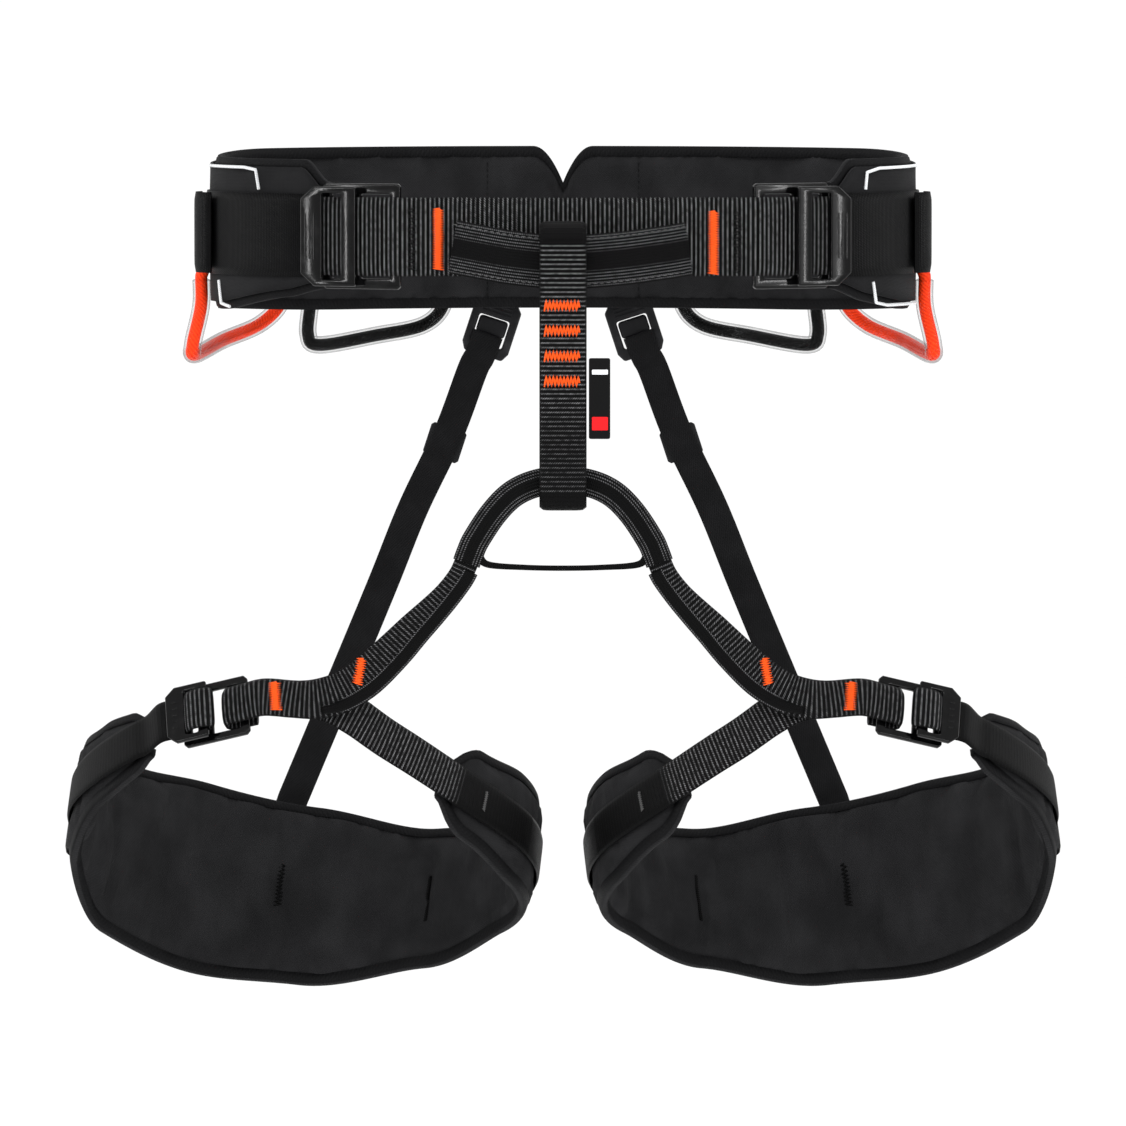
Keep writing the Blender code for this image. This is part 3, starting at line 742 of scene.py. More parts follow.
def cushion(name, frames, edges, along, seams, seed, body, node, cap=0.0022, folds=0.0010, spots=(),
            covered=1.0):
    """A flat bound pad: frames are (middle, outward, up) along it and edges its reach below and above.

    Its two faces are drawn in along the edge binding, the ends and the seams. The outer face stays
    flat within covered of its middle, where straps lie on it.
    """
    count = 19
    share = np.sin(np.linspace(-1, 1, count) * math.pi / 2 * 0.94) / math.sin(math.pi / 2 * 0.94)
    grid = []
    pinned = []
    for (middle, outward, up), (low, high), place_ in zip(frames, edges, along):
        height = np.where(share < 0, share * low, share * high)
        from_edge = np.minimum(high - height, height + low)
        from_end = min(place_ - along[0], along[-1] - place_)
        full = blend(0.0022, 0.0110, from_edge) * (0.35 + 0.65 * blend(0, 0.010, from_end))
        for seam in seams:
            full = full * (1 - 0.62 * math.exp(-(((place_ - seam) / 0.0019) ** 2)))
        for spot, bottom, top in spots:
            pull = math.exp(-(((place_ - spot) / 0.0040) ** 2)) * blend(bottom - 0.004, bottom, height)
            full = full * (1 - 0.75 * pull * (1 - blend(top, top + 0.004, height)))
        groove = 1 - 0.35 * np.exp(-(((from_edge - 0.0062) / 0.0009) ** 2))
        wave = 0.0004 * ripple(height, place_, seed)
        thick = PAD_HALF * (0.36 + 0.64 * full * groove)
        front = thick + 0.5 * wave * full
        back = thick + (wave + folds * creases(height, place_, along[-1], seed)) * full
        points = middle + np.outer(height, up)
        grid.append(np.vstack([points + np.outer(front, outward), (points - np.outer(back, outward))[::-1]]))
        fixed = (full < 0.4) | (from_edge < 0.0068)
        under = fixed | (np.abs(height) < covered)
        pinned.append(np.concatenate([under, fixed[::-1]]))
    across = np.concatenate([share, share[::-1]]) * np.mean([low + high for low, high in edges]) / 2
    pad = skin(name, np.array(grid), across, along, lining)
    puff(pad, np.array(pinned).ravel(), cap)
    finished(pad, body, "pad_lining", node)
    for sign, label in ((-1, "lower"), (1, "upper")):
        edge = edge_binding(f"{name.replace('cushion', 'binding')}_{label}", frames, edges, sign)
        finished(edge, body, "pad_shell")
    return pad


def edge_binding(name, frames, edges, sign):
    """Folded tape round a pad's lower (-1) or upper (1) edge: a row of sections shaped like a U."""
    turn = np.linspace(-math.pi / 2, math.pi / 2, 7)
    # Heights from the edge and depths, round the tape's outside and back along its inside.
    bend = BINDING_HALF * 0.55 * (np.cos(turn) - 1)
    tall = np.array([-BINDING_REACH, *bend, -BINDING_REACH, -BINDING_REACH, -BINDING_HALF, -BINDING_REACH])
    deep = BINDING_HALF * np.array([-0.80, *(0.62 * np.sin(turn)), 0.80, 0.5, 0.0, -0.5])
    grid = []
    for (middle, outward, up), reach in zip(frames, edges):
        limit = reach[(sign + 1) // 2]
        grid.append(middle + np.outer(sign * (limit + tall), up) + np.outer(deep, outward))
    grid = np.array(grid)
    across = np.linspace(0, 2 * BINDING_REACH, grid.shape[1])
    return skin(name, grid, across, distances(grid[:, 4]), binding)


def pad_top(degrees):
    """The belt pad's upper edge: lower at the ends, with a notch at the back's middle."""
    back = abs(degrees - 180)
    x = abs(WAIST_HALF_WIDTH * math.sin(math.radians(degrees - 180)))
    notch = 0.0196 * max(0.0, 1 - x / 0.016) ** 2.0 if back < 90 else 0.0
    end = min(degrees - PAD_ENDS[0], PAD_ENDS[1] - degrees)
    return 0.0425 - 0.003 * blend(60, 100, back) - notch - 0.012 * (1 - blend(0, 6, end))


def pad_bottom(degrees):
    """The belt pad's lower edge."""
    back = abs(degrees - 180)
    end = min(degrees - PAD_ENDS[0], PAD_ENDS[1] - degrees)
    rise = 0.004 * blend(40, 100, back) + 0.009 * blend(100, 135, back)
    return -0.0445 + rise + 0.004 * (1 - blend(0, 10, end))


def waist_stations(start, end, step, out=0.0):
    """Angles along the belt, (middle, outward, up) at each and the distances along."""
    angles = np.linspace(start, end, round((end - start) / step) + 1)
    if start < 174 and end > 186:
        # Closer together about the notch at the back.
        apart = np.abs(angles - 180) > 6
        near = np.linspace(174, 186, 37)
        angles = np.concatenate([angles[apart & (angles < 180)], near, angles[apart & (angles > 180)]])
    points = waist(angles, out)
    return angles, [(p, n, UP) for p, n in zip(points, belt_outward(angles))], distances(points)


def make_waist_pad():
    """The belt's pad with its bound edges and the seams at the back."""
    angles, stations, along = waist_stations(*PAD_ENDS, 0.9)
    edges = [(-pad_bottom(a), pad_top(a)) for a in angles]
    seams = {"right": 166.9, "left": 193.1}
    places = np.interp(list(seams.values()), angles, along)
    cushion("waist_cushion", stations, edges, along, places, 3.0, "waist", "waist_pad")
    for label, degrees in seams.items():
        heights = np.linspace(pad_bottom(degrees) + 0.006, pad_top(degrees) - 0.006, 40)
        inside = waist(np.full(40, degrees), -0.0030, heights)
        normal = np.tile(-belt_outward(degrees), (40, 1))
        row = stitch_row(f"waist_seam_{label}", inside, normal, black_thread, 0.0032)
        finished(row, "waist", "pad_lining")


def make_waist_shells():
    """Outer cloth of the belt's two halves, with a pale line of piping sewn on near the front."""
    for name, (start, end) in {"left": (191.0, 317.0), "right": (51.0, 169.0)}.items():
        angles, stations, along = waist_stations(start, end, 1.0, 0.0047)
        edges = [(-pad_bottom(a) - 0.004, pad_top(a) - 0.004) for a in angles]
        grid = []
        for (middle, outward, up), (low, high), place_ in zip(stations, edges, along):
            height = np.linspace(-low, high, 14)
            puffed = 0.0005 * ripple(height, place_, 9.0 if name == "left" else 17.0)
            points = middle + np.outer(height, up)
            front = points + np.outer(0.0009 + puffed, outward)
            grid.append(np.vstack([front, (points - 0.0006 * outward)[::-1]]))
        width = np.linspace(-0.04, 0.04, 14)
        width = np.concatenate([width, width[::-1]])
        obj = skin(f"waist_shell_{name}_cloth", np.array(grid), width, along, shell)
        finished(obj, "waist", "pad_shell", f"waist_shell_{name}")
    # Pale piping: one plain line near the upper edge and a corner near the front, on each half.
    lines = {
        "left_upper": ((276.0, 0.0350), (296.0, 0.0350), (300.0, 0.0338), (301.0, 0.0235)),
        "left_lower": ((284.0, -0.0250), (285.5, -0.0370), (290.0, -0.0385)),
        "right_upper": ((58.5, 0.0235), (59.0, 0.0325), (63.0, 0.0345), (84.0, 0.0350)),
        "right_lower": ((61.0, -0.0250), (62.0, -0.0360), (66.0, -0.0375), (84.0, -0.0375)),
    }
    for name, corners in lines.items():
        share = np.linspace(0, len(corners) - 1, 60)
        turn, height = [np.interp(share, range(len(corners)), column) for column in zip(*corners)]
        path = waist(turn, 0.0062, height)
        finished(thread(f"waist_piping_{name}", path, 0.00085, piping, sides=8), "waist", "pad_shell")


def make_waist_webbing():
    """Smooth load webbing round the belt, with its proud keepers."""
    start, end = 49.7, 315.8
    rows = waist_rows(start, end, lambda a: 0.0060 + 0.0010 * blend(0, 5, min(a - start, end - a)),
                      width=WEBBING_HEIGHT, count=90)
    belt = webbing("waist_load_webbing", rows, smooth, thick=0.0021)
    finished(belt, "waist", "smooth_webbing", "waist_webbing")
    reach = 5.4
    for name, middle in (("left", 278.0), ("right", 82.0)):
        rows = waist_rows(middle - reach, middle + reach,
                          lambda a: 0.0098 + 0.0046 * arched((a - middle) / reach) ** 0.7,
                          width=0.0425, count=15)
        strap = webbing(f"waist_keeper_{name}_strap", rows, smooth, thick=0.0019, step=0.0006)
        finished(strap, "waist", "smooth_webbing", f"waist_keeper_{name}")


make_waist_pad()
make_waist_shells()
make_waist_webbing()


# ---------------------------------------------------------------- front of the belt
# The belt's way through a buckle: distance from the buckle's middle, away from the front, and height.
BELT_WEAVE = (
    (0.0212, 0.0042),
    (0.0214, 0.0064),
    (0.0196, 0.0080),
    (0.0160, 0.0085),
    (0.0080, 0.0085),
    (0.0000, 0.0085),
    (-0.0100, 0.0082),
    (-0.0180, 0.0078),
    (-0.0240, 0.0073),
    (-0.0300, 0.0050),
    (-0.0360, 0.0030),
)


def weave_rows(matrix, point, weave, width, side=1):
    """Strap rows through a buckle."""
    away, up, outward = axes_of(matrix)
    return [[*(point + away * x + outward * z), *(up * side), width] for x, z in weave]


def make_front_belt():
    """Ribbed belt between the buckles, threaded through both, with its bar tacks."""
    left, right = [weave_rows(*waist_matrix(WAIST_BUCKLES[name], 0.0), BELT_WEAVE, 0.0408) for name in SIDES]
    rows = left + waist_rows(-19.0, 24.0, 0.0020, width=0.0410, count=9).tolist() + right[::-1]
    belt = webbing("front_belt_webbing", rows, ribbed, ribs=1.0, points=11)
    finished(belt, "waist", "ribbed_webbing", "front_belt")
    # place across the front, height, reach up, reach across, distance out of the pad, pitch, thread
    tacks = (
        (-0.0640, -0.0010, 0.0320, 0.0058, 0.0036, 0.00125, orange_thread),
        (0.0773, -0.0030, 0.0330, 0.0056, 0.0036, 0.00125, orange_thread),
        (-0.0765, -0.0010, 0.0330, 0.0050, 0.0034, 0.0032, black_thread),
        (0.0885, -0.0030, 0.0330, 0.0050, 0.0034, 0.0032, black_thread),
    )
    for number, (x, z, tall, wide, out, pitch, surface) in enumerate(tacks):
        degrees = math.degrees(math.asin(x / WAIST_HALF_WIDTH))
        normal = belt_outward(degrees)
        across = np.cross(normal, UP)
        centre = waist(degrees, out, z)
        obj = tack(f"front_belt_tack_{number}", belt, centre, UP, across, normal, tall, wide, surface, pitch)
        finished(obj, "waist", None)


def make_buckle(kind, name, body, seats, plates, depth, bevels, ridge, ridge_depth, ridge_places):
    """A three-bar frame under a sliding two-bar plate, which carries small ridges."""
    slider = f"{kind}_slider_{name}"
    parts = zip(("frame", "slider"), (body, slider), seats, plates, bevels)
    for part, part_body, seat, loops, bevel in parts:
        node = f"{kind}_buckle_{part}_{name}"
        plate = moulded(f"{node}_metal", loops, depth, bevel, seat, metal)
        finished(plate, part_body, "buckle_metal", node)
    for number, (x, y) in enumerate(ridge_places):
        seat = seats[1] @ Matrix.Translation((x, y, depth / 2))
        rib = moulded(f"{slider}_ridge_{number}", [ridge], ridge_depth, 0.0002, seat, metal)
        finished(rib, slider, "buckle_metal")


def make_waist_buckles():
    """The belt's two buckles."""
    frame_edge = mirrored([(-0.0240, -0.0262), (-0.0226, -0.0275), (0.0180, -0.0275), (0.0200, -0.0255)])
    plate_edge = mirrored([(-0.0020, -0.0260), (0.0215, -0.0260), (0.0290, -0.0195)])
    plates = (
        [
            outline(frame_edge, 0.0012),
            rounded_box(-0.0185, -0.0020, -0.0220, 0.0220, 0.0012),
            rounded_box(0.0025, 0.0145, -0.0220, 0.0220, 0.0012),
        ],
        [outline(plate_edge, 0.0014), rounded_box(0.0060, 0.0170, -0.0225, 0.0225, 0.0012)],
    )
    ridge = rounded_box(-0.0005, 0.0005, -0.0120, 0.0120, 0.0004)
    places = [(0.0212 + 0.0024 * number, 0.0) for number in range(3)]
    for name, degrees in WAIST_BUCKLES.items():
        seats = [seated(*waist_matrix(degrees, out)) for out in (0.0045, 0.0125)]
        make_buckle("waist", name, "waist", seats, plates, 0.0030, (0.0009, 0.0010), ridge, 0.0007, places)


# ---------------------------------------------------------------- tie-in band, belay loop and bridge
def across_front(path):
    """The way across a strap that faces the front, at each point of its path."""
    ahead = directions(path)
    return unit(np.column_stack([-ahead[:, 2], np.zeros(len(path)), ahead[:, 0]]))


def flat_rows(points, width):
    """Strap rows along a path that faces the front; width is a number or a function of the share along."""
    path = curve_through(points, 8)
    wide = width(np.linspace(0, 1, len(path))) if callable(width) else np.full(len(path), width)
    return np.column_stack([path, across_front(path), wide])


def make_tie_in_band():
    """The protected band across the front that the belay loop hangs on."""
    points = [
        (-0.057, -0.1038, -0.0050),
        (-0.046, -0.1075, -0.0070),
        (-0.025, -0.1140, -0.0105),
        (0.000, -0.1160, -0.0125),
        (0.027, -0.1140, -0.0110),
        (0.052, -0.1070, -0.0080),
        (0.065, -0.1022, -0.0060),
    ]
    rows = [[x, y, z, 0, 0, 1, 0.0280] for x, y, z in points]
    band = webbing("tie_in_band_webbing", rows, sleeve, thick=0.0032, points=13, step=0.0012, plies=2)
    finished(band, "waist", "sleeved_webbing", "tie_in_band")
    for label, rise in (("low", -0.0118), ("high", 0.0118)):
        path = curve_through([(x, y - 0.0018, z + rise) for x, y, z in points])
        front = np.tile((0, -1, 0), (len(path), 1))
        row = stitch_row(f"tie_in_stitch_{label}", path, front, grey_thread, 0.0034)
        finished(row, "waist", "sleeved_webbing")


def make_belay_loop():
    """The belay loop: a ring of doubled ribbed webbing with four orange bar tacks."""
    radius = 0.0080
    middle = -0.1160
    top, bottom = -0.0013, -0.1315
    turn = np.linspace(0, math.pi, 9)[1:-1]
    path = [(middle - radius, z) for z in np.linspace(top, bottom, 16)]
    path += [(middle - radius * math.cos(a), bottom - radius * math.sin(a)) for a in turn]
    path += [(middle + radius, z) for z in np.linspace(bottom, top, 16)]
    path += [(middle + radius * math.cos(a), top + radius * math.sin(a)) for a in turn]
    rows = [[0, y, z, 1, 0, 0, 0.0245] for y, z in path]
    length = top - bottom

    def ribs(along):
        worn = 1 - 0.62 * blend(0.55 * length, 0.80 * length, along)
        return blend(0.0015, 0.0025, along) * (1 - blend(length - 0.0005, length + 0.0015, along)) * worn

    loop = webbing("belay_loop_webbing", rows, ribbed_narrow, thick=0.0042, ribs=ribs, ring=True, points=11,
                   plies=2)
    finished(loop, "waist", "ribbed_webbing", "belay_loop")
    for number, z in enumerate((-0.0347, -0.0477, -0.0609, -0.0739)):
        obj = tack(f"belay_loop_tack_{number}", loop, (-0.0004, -0.1264, z), (1, 0, 0), UP, (0, -1, 0),
                   0.0185, 0.0062, orange_thread, 0.0019, 0.00046)
        finished(obj, "waist", None)


def make_belay_tag():
    """A plain folded label sewn into the belay loop's edge, with a red patch and a pale stripe."""
    tall, wide = 0.0420, 0.0111
    left, right = 0.0016, wide - 0.0012
    # label: (outline, distance in front, depth, bevel, surface)
    layers = {
        "cloth": (rounded_box(0.0, wide, -tall / 2, tall / 2, 0.0012), 0.0, 0.0009, 0.0003, black_thread),
        "patch": (rounded_box(left, right, -0.0165, -0.0095, 0.0006), 0.00055, 0.0003, 0.0001, red_patch),
        "stripe": (rounded_box(left, right, 0.0125, 0.0150, 0.0005), 0.00055, 0.0003, 0.0001, piping),
    }
    for label, (loop, front, depth, bevel, surface) in layers.items():
        place_ = Matrix.Translation((0.0134, -0.1240 - front, -0.0830)) @ Matrix.Rotation(math.pi / 2, 4, "X")
        obj = moulded(f"belay_tag_{label}", [loop], depth, bevel, place_, surface)
        finished(obj, "tag", "tag", *(["belay_tag"] if label == "cloth" else []))


def arched_path(half, y, middle):
    """A path from the left to the right whose (x, z) halves are mirror images about its middle height."""
    return [(-x, y, z) for x, z in half] + [(0.0, y, middle)] + [(x, y, z) for x, z in half[::-1]]


def make_bridge():
    """The lower tie-in arch that joins the legs, and the tape that ties its two arms."""
    y = -0.1160
    half = [
        (0.0502, -0.1690),
        (0.0482, -0.1635),
        (0.0450, -0.1565),
        (0.0360, -0.1430),
        (0.0260, -0.1330),
        (0.0140, -0.1275),
    ]
    rows = flat_rows(arched_path(half, y, -0.1258), 0.0145)
    arch = webbing("bridge_arch_webbing", rows, sleeve_narrow, thick=0.0045, points=11, step=0.0010, plies=2)
    finished(arch, "waist", "sleeved_webbing", "bridge_arch")
    half = [(0.0440, -0.1655), (0.0385, -0.1698), (0.0200, -0.1712)]
    rows = flat_rows(arched_path(half, y, -0.1716), lambda s: 0.0028 + 0.0022 * abs(2 * s - 1) ** 3)
    tape = webbing("bridge_tape_webbing", rows, smooth, thick=0.0014, step=0.0010)
    finished(tape, "waist", "smooth_webbing", "bridge_tape")


def make_haul_loop():
    """A small loop at the back of the belt."""
    points = [(0.0105, -0.020), (0.0115, -0.012), (0.0150, 0.0), (0.0115, 0.012), (0.0105, 0.020)]
    rows = [[0.0, WAIST_HALF_DEPTH + out, z, 1, 0, 0, 0.0100] for out, z in points]
    loop = webbing("haul_loop_webbing", rows, smooth, thick=0.0016, step=0.0010)
    finished(loop, "waist", "smooth_webbing", "haul_loop")


make_front_belt()
make_waist_buckles()
make_tie_in_band()
make_belay_loop()
make_belay_tag()
make_bridge()
make_haul_loop()


# ---------------------------------------------------------------- legs
# The straps' ways through a leg buckle: distance from its middle, away from the front, and height.
FRONT_FOLD = (
    (-0.0300, 0.0092),
    (-0.0180, 0.0091),
    (-0.0115, 0.0088),
    (-0.0078, 0.0072),
    (-0.0070, 0.0045),
    (-0.0090, 0.0022),
    (-0.0140, 0.0012),
    (-0.0230, 0.0010),
)
LEG_FRONT_PATH = (
    (0.0494, -0.1158, -0.1664),
    (0.0530, -0.1158, -0.1748),
    (0.0600, -0.1150, -0.1845),
    (0.0680, -0.1138, -0.1935),
    (0.0780, -0.1128, -0.2040),
    (0.0890, -0.1113, -0.2160),
    (0.1030, -0.1095, -0.2292),
    (0.1170, -0.1085, -0.2375),
    (0.1300, -0.1078, -0.2405),
    (0.1420, -0.1065, -0.2404),
)
OUTER_FOLD = (
    (0.0030, 0.0084),
    (-0.0002, 0.0092),
    (-0.0014, 0.0112),
    (0.0002, 0.0132),
    (0.0035, 0.0140),
    (0.0085, 0.0139),
    (0.0118, 0.0122),
    (0.0136, 0.0098),
    (0.0165, 0.0083),
    (0.0230, 0.0080),
    (0.0300, 0.0068),
)


def make_leg_pad(name, side):
    """The leg loop's pad with its binding and the bar tacks on its lining."""
    start, end = LEG_PAD_EDGES[0][0], LEG_PAD_EDGES[-1][0]
    angles = np.linspace(start, end, 190)
    stations = [(middle, outward, up) for middle, _along, outward, up in (leg_frame(side, a) for a in angles)]
    ends = 1 - 0.35 * (1 - blend(0, 7, np.minimum(angles - start, end - angles))) ** 2
    edges = np.array([table_value(LEG_PAD_EDGES, a) for a in angles]) * ends[:, None]
    along = distances(np.array([middle for middle, _outward, _up in stations]))
    # angle of a tack, its reach below and above, its own rise, height, width and pitch
    tacks = (
        (172.0, -0.008, 0.014, 0.003, 0.0240, 0.0038, 0.0022),
        (213.5, -0.012, 0.012, 0.0, 0.026, 0.0016, 0.0012),
    )
    spots = [(np.interp(degrees, angles, along), low, high) for degrees, low, high, *_rest in tacks]
    pad = cushion(f"leg_cushion_{name}", stations, edges, along, np.interp((74.0, 296.0), angles, along),
                  31.0 + side, f"leg_{name}", f"leg_pad_{name}", 0.0030, 0.0032, spots, 0.0150)
    for number, (degrees, _low, _high, rise, tall, wide, pitch) in enumerate(tacks):
        point, way, outward, up = leg_frame(side, degrees)
        centre = point - 0.0060 * outward + rise * up
        obj = tack(f"leg_pad_tack_{name}_{number}", pad, centre, up, way, -outward, tall, wide, black_thread,
                   pitch)
        finished(obj, f"leg_{name}", "pad_lining")


def make_leg_straps(name, side):
    """Webbing round the leg loop and its keeper; returns the inner strap."""
    body = f"leg_{name}"
    rows = weave_rows(*leg_matrix(side, LEG_BUCKLE_ANGLE, 0.0), OUTER_FOLD, LEG_STRAP_WIDTH, side)
    rows += leg_rows(side, 41.0, 104.5, 0.0061, count=16).tolist()
    strap = webbing(f"leg_outer_webbing_{name}", rows, smooth_ribbed,
                    ribs=lambda s: 1 - blend(0.024, 0.030, s))
    finished(strap, body, "smooth_webbing", f"leg_outer_strap_{name}")

    strap = webbing(f"leg_back_strap_{name}", leg_rows(side, 116.0, 287.5, 0.0060, count=44), smooth)
    finished(strap, body, "smooth_webbing", f"leg_back_webbing_{name}")

    rows = leg_rows(side, 287.0, 357.0, lambda a: 0.0062 + 0.0040 * blend(336, 352, a),
                    rise=lambda a: 0.004 * blend(340, 357, a), count=22)
    inner = webbing(f"leg_inner_webbing_{name}", rows, smooth_ribbed, thick=0.0022,
                    ribs=lambda s: blend(0.060, 0.070, s))
    finished(inner, body, "ribbed_webbing", f"leg_inner_strap_{name}")

    middle, reach = 110.0, 5.6
    rows = leg_rows(side, middle - reach, middle + reach,
                    lambda a: 0.0068 + 0.0092 * arched((a - middle) / reach) ** 0.6, width=0.0290, count=15)
    keeper = webbing(f"leg_keeper_{name}_strap", rows, smooth, step=0.0006)
    finished(keeper, body, "smooth_webbing", f"leg_keeper_{name}")
    return inner


def make_inner_tack(name, side, inner):
    """The small bar tack on the leg loop's inner strap."""
    centre, way, outward, up = leg_frame(side, 310.0)
    mark = tack(f"leg_inner_tack_{name}", inner, centre + 0.0076 * outward, up, way, outward, 0.0110, 0.0020,
                grey_thread)
    finished(mark, f"leg_{name}", "ribbed_webbing")


def make_leg_front(name, side):
    """The strap from the bridge to the leg buckle, its rolled edge and its bar tacks."""
    body = f"leg_{name}"
    matrix, point = leg_matrix(side, LEG_BUCKLE_ANGLE, 0.0)
    away, up, outward = axes_of(matrix)
    path = curve_through([(side * x, y, z) for x, y, z in LEG_FRONT_PATH], 6)
    share = np.linspace(0, 1, len(path))
    # The strap's width turns to lie along the buckle's.
    turned = blend(0.70, 1.0, share)[:, None]
    across = unit(across_front(path) * (1 - turned) + up * side * turned)
    width = 0.0125 + 0.0090 * blend(0.15, 0.70, share)
    rows = np.column_stack([path, across, width])[::3].tolist()
    rows += weave_rows(matrix, point, FRONT_FOLD, 0.0215, side)
    front = webbing(f"leg_front_webbing_{name}", rows, ribbed_leg, thick=0.0021, ribs=1.0, bow=0.0006)
    finished(front, body, "ribbed_webbing", f"leg_front_strap_{name}")

    # The rolled lower edge, where the strap's two layers are sewn on top of each other.
    upward = across * side
    edge = path - upward * (width * 0.30)[:, None] - (0, 0.0006, 0)
    rolled = np.column_stack([edge, across, 0.0082 * (1 - 0.45 * blend(0.7, 0.86, share))])
    rolled = rolled[(share > 0.06) & (share < 0.86)][::2]
    roll = webbing(f"leg_front_roll_{name}", rolled, rolled_edge, thick=0.0034, bow=0.0008, step=0.0010)
    finished(roll, body, "ribbed_webbing")

    middle = np.argmin(np.abs(side * path[:, 0] - 0.1035))
    centre = path[middle] + upward[middle] * 0.0046 - (0, 0.0023, 0)
    mark = tack(f"leg_front_tack_{name}_0", front, centre, (-side * 0.18, 0, 1), (side, 0, 0.18), (0, -1, 0),
                0.0138, 0.0056, orange_thread)
    finished(mark, body, None)
    centre = point - away * 0.0365 + outward * 0.0112 - up * 0.0008
    mark = tack(f"leg_front_tack_{name}_1", front, centre, up, away, outward, 0.0165, 0.0062, orange_thread)
    finished(mark, body, None)


def make_leg_buckle(name, side):
    """The leg loop's two-piece buckle."""
    frame_edge = mirrored([(-0.0200, -0.0150), (-0.0182, -0.0170), (0.0152, -0.0170), (0.0170, -0.0152)])
    plate_edge = mirrored([(0.0010, -0.0160), (0.0188, -0.0160), (0.0240, -0.0115)])
    plates = (
        [
            outline(frame_edge, 0.0010),
            rounded_box(-0.0150, 0.0, -0.0125, 0.0125, 0.0010),
            rounded_box(0.0040, 0.0120, -0.0125, 0.0125, 0.0010),
        ],
        [outline(plate_edge, 0.0010), rounded_box(0.0065, 0.0135, -0.0125, 0.0125, 0.0009)],
    )
    seats = [seated(*leg_matrix(side, LEG_BUCKLE_ANGLE, out)) for out in (0.00525, 0.01125)]
    ridge = rounded_box(-0.0016, 0.0016, -0.0005, 0.0005, 0.0004)
    places = [(0.0188, -0.0072 + 0.0036 * number) for number in range(5)]
    make_buckle("leg", name, f"leg_{name}", seats, plates, 0.0025, (0.0008, 0.0008), ridge, 0.0006, places)


for side_name, side_sign in SIDES.items():
    make_leg_pad(side_name, side_sign)
    inner_strap = make_leg_straps(side_name, side_sign)
    make_leg_front(side_name, side_sign)
    make_inner_tack(side_name, side_sign, inner_strap)
    make_leg_buckle(side_name, side_sign)


# ---------------------------------------------------------------- risers
def make_riser(name, side):
    """The elastic strap up the back with its slider, hook buckle, spring tongue and belt tab."""
    points = [
        (0.0402, 0.1086, -0.0590),
        (0.0425, 0.1087, -0.0650),
        (0.0452, 0.1094, -0.0715),
        (0.0490, 0.1122, -0.0790),
        (0.0617, 0.1130, -0.1130),
        (0.0808, 0.1120, -0.1530),
        (0.0973, 0.1110, -0.1940),
        (0.1210, 0.1100, -0.2510),
        (0.1420, 0.1085, -0.3010),
        (0.1468, 0.1050, -0.3130),
        (0.1500, 0.0985, -0.3265),
    ]
    rows = flat_rows([(side * x, y, z) for x, y, z in points], 0.0165)
    riser = webbing(f"riser_elastic_{name}", rows, elastic, step=0.0020)
    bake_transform(riser)
    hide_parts(f"riser_{name}")

    def hard(label, body, loops, depth, bevel, place_, *node):
        finished(moulded(label, loops, depth, bevel, place_, plastic), body, "buckle_plastic", *node)

    lean = math.atan2(0.0177, 0.0540) * side
    turned = Matrix.Rotation(-lean, 4, "Y") @ Matrix.Rotation(math.pi / 2, 4, "X")
    edge = mirrored([(-0.0100, -0.0075), (-0.0085, -0.0090), (0.0085, -0.0090), (0.0100, -0.0075)])
    centre = seated(turned, (side * 0.0638, 0.1150, -0.1180)) @ Matrix.Translation((0, 0, -0.0010))
    hard(f"riser_keeper_{name}_plastic", "waist", [outline(edge, 0.0010)], 0.0020, 0.0006, centre,
         f"riser_keeper_{name}")

    centre = seated(turned, (side * 0.0385, 0.1145, -0.0560))
    right = [(0.0105, -0.0155), (0.0130, -0.0110), (0.0130, 0.0120), (0.0100, 0.0155)]
    edge = [(-0.0105, -0.0155), *right, (-0.0100, 0.0155), (-0.0130, 0.0120), (-0.0130, -0.0110)]
    loops = [outline(edge, 0.0020), rounded_box(-0.0085, 0.0085, -0.0095, 0.0060, 0.0015)]
    hard(f"riser_buckle_{name}_plastic", "waist", loops, 0.0080, 0.0012, centre, f"riser_buckle_{name}")
    ridge = rounded_box(-0.0080, 0.0080, -0.0005, 0.0005, 0.0004)
    for label, deep in (("back", -0.0040), ("front", 0.0040)):
        for number in range(3):
            place_ = centre @ Matrix.Translation((0, 0.0085 + 0.0020 * number, deep))
            hard(f"riser_buckle_{name}_ridge_{number}_{label}", "waist", [ridge], 0.0007, 0.0002, place_)
    loops = [rounded_box(-0.0080, 0.0080, -0.0040, 0.0055, 0.0022)]
    hard(f"riser_latch_{name}_plastic", f"latch_{name}", loops, 0.0050, 0.0012, centre, f"riser_latch_{name}")

    rows = [[side * x, y, z, 1, 0, 0, 0.0160] for x, y, z in
            ((0.0340, 0.1122, 0.0160), (0.0345, 0.1125, -0.0100), (0.0340, 0.1135, -0.0370))]
    tab = webbing(f"riser_tab_{name}_webbing", rows, elastic, thick=0.0016, step=0.0012)
    finished(tab, "waist", "smooth_webbing", f"riser_tab_{name}")


# ---------------------------------------------------------------- gear loops
# name: (start and end on the belt, corner, height at the corner, height at the far end, cord)
GEAR_LOOPS = {
    "front_right": (92.0, 127.0, 94.0, -0.066, -0.052, orange_cord),
    "front_left": (268.0, 233.0, 266.0, -0.066, -0.052, orange_cord),
    "rear_right": (133.0, 160.0, 135.5, -0.064, -0.054, black_cord),
    "rear_left": (227.0, 200.0, 224.5, -0.064, -0.054, black_cord),
}
TUBE_RADIUS = 0.00475
CORE_RADIUS = 0.0033


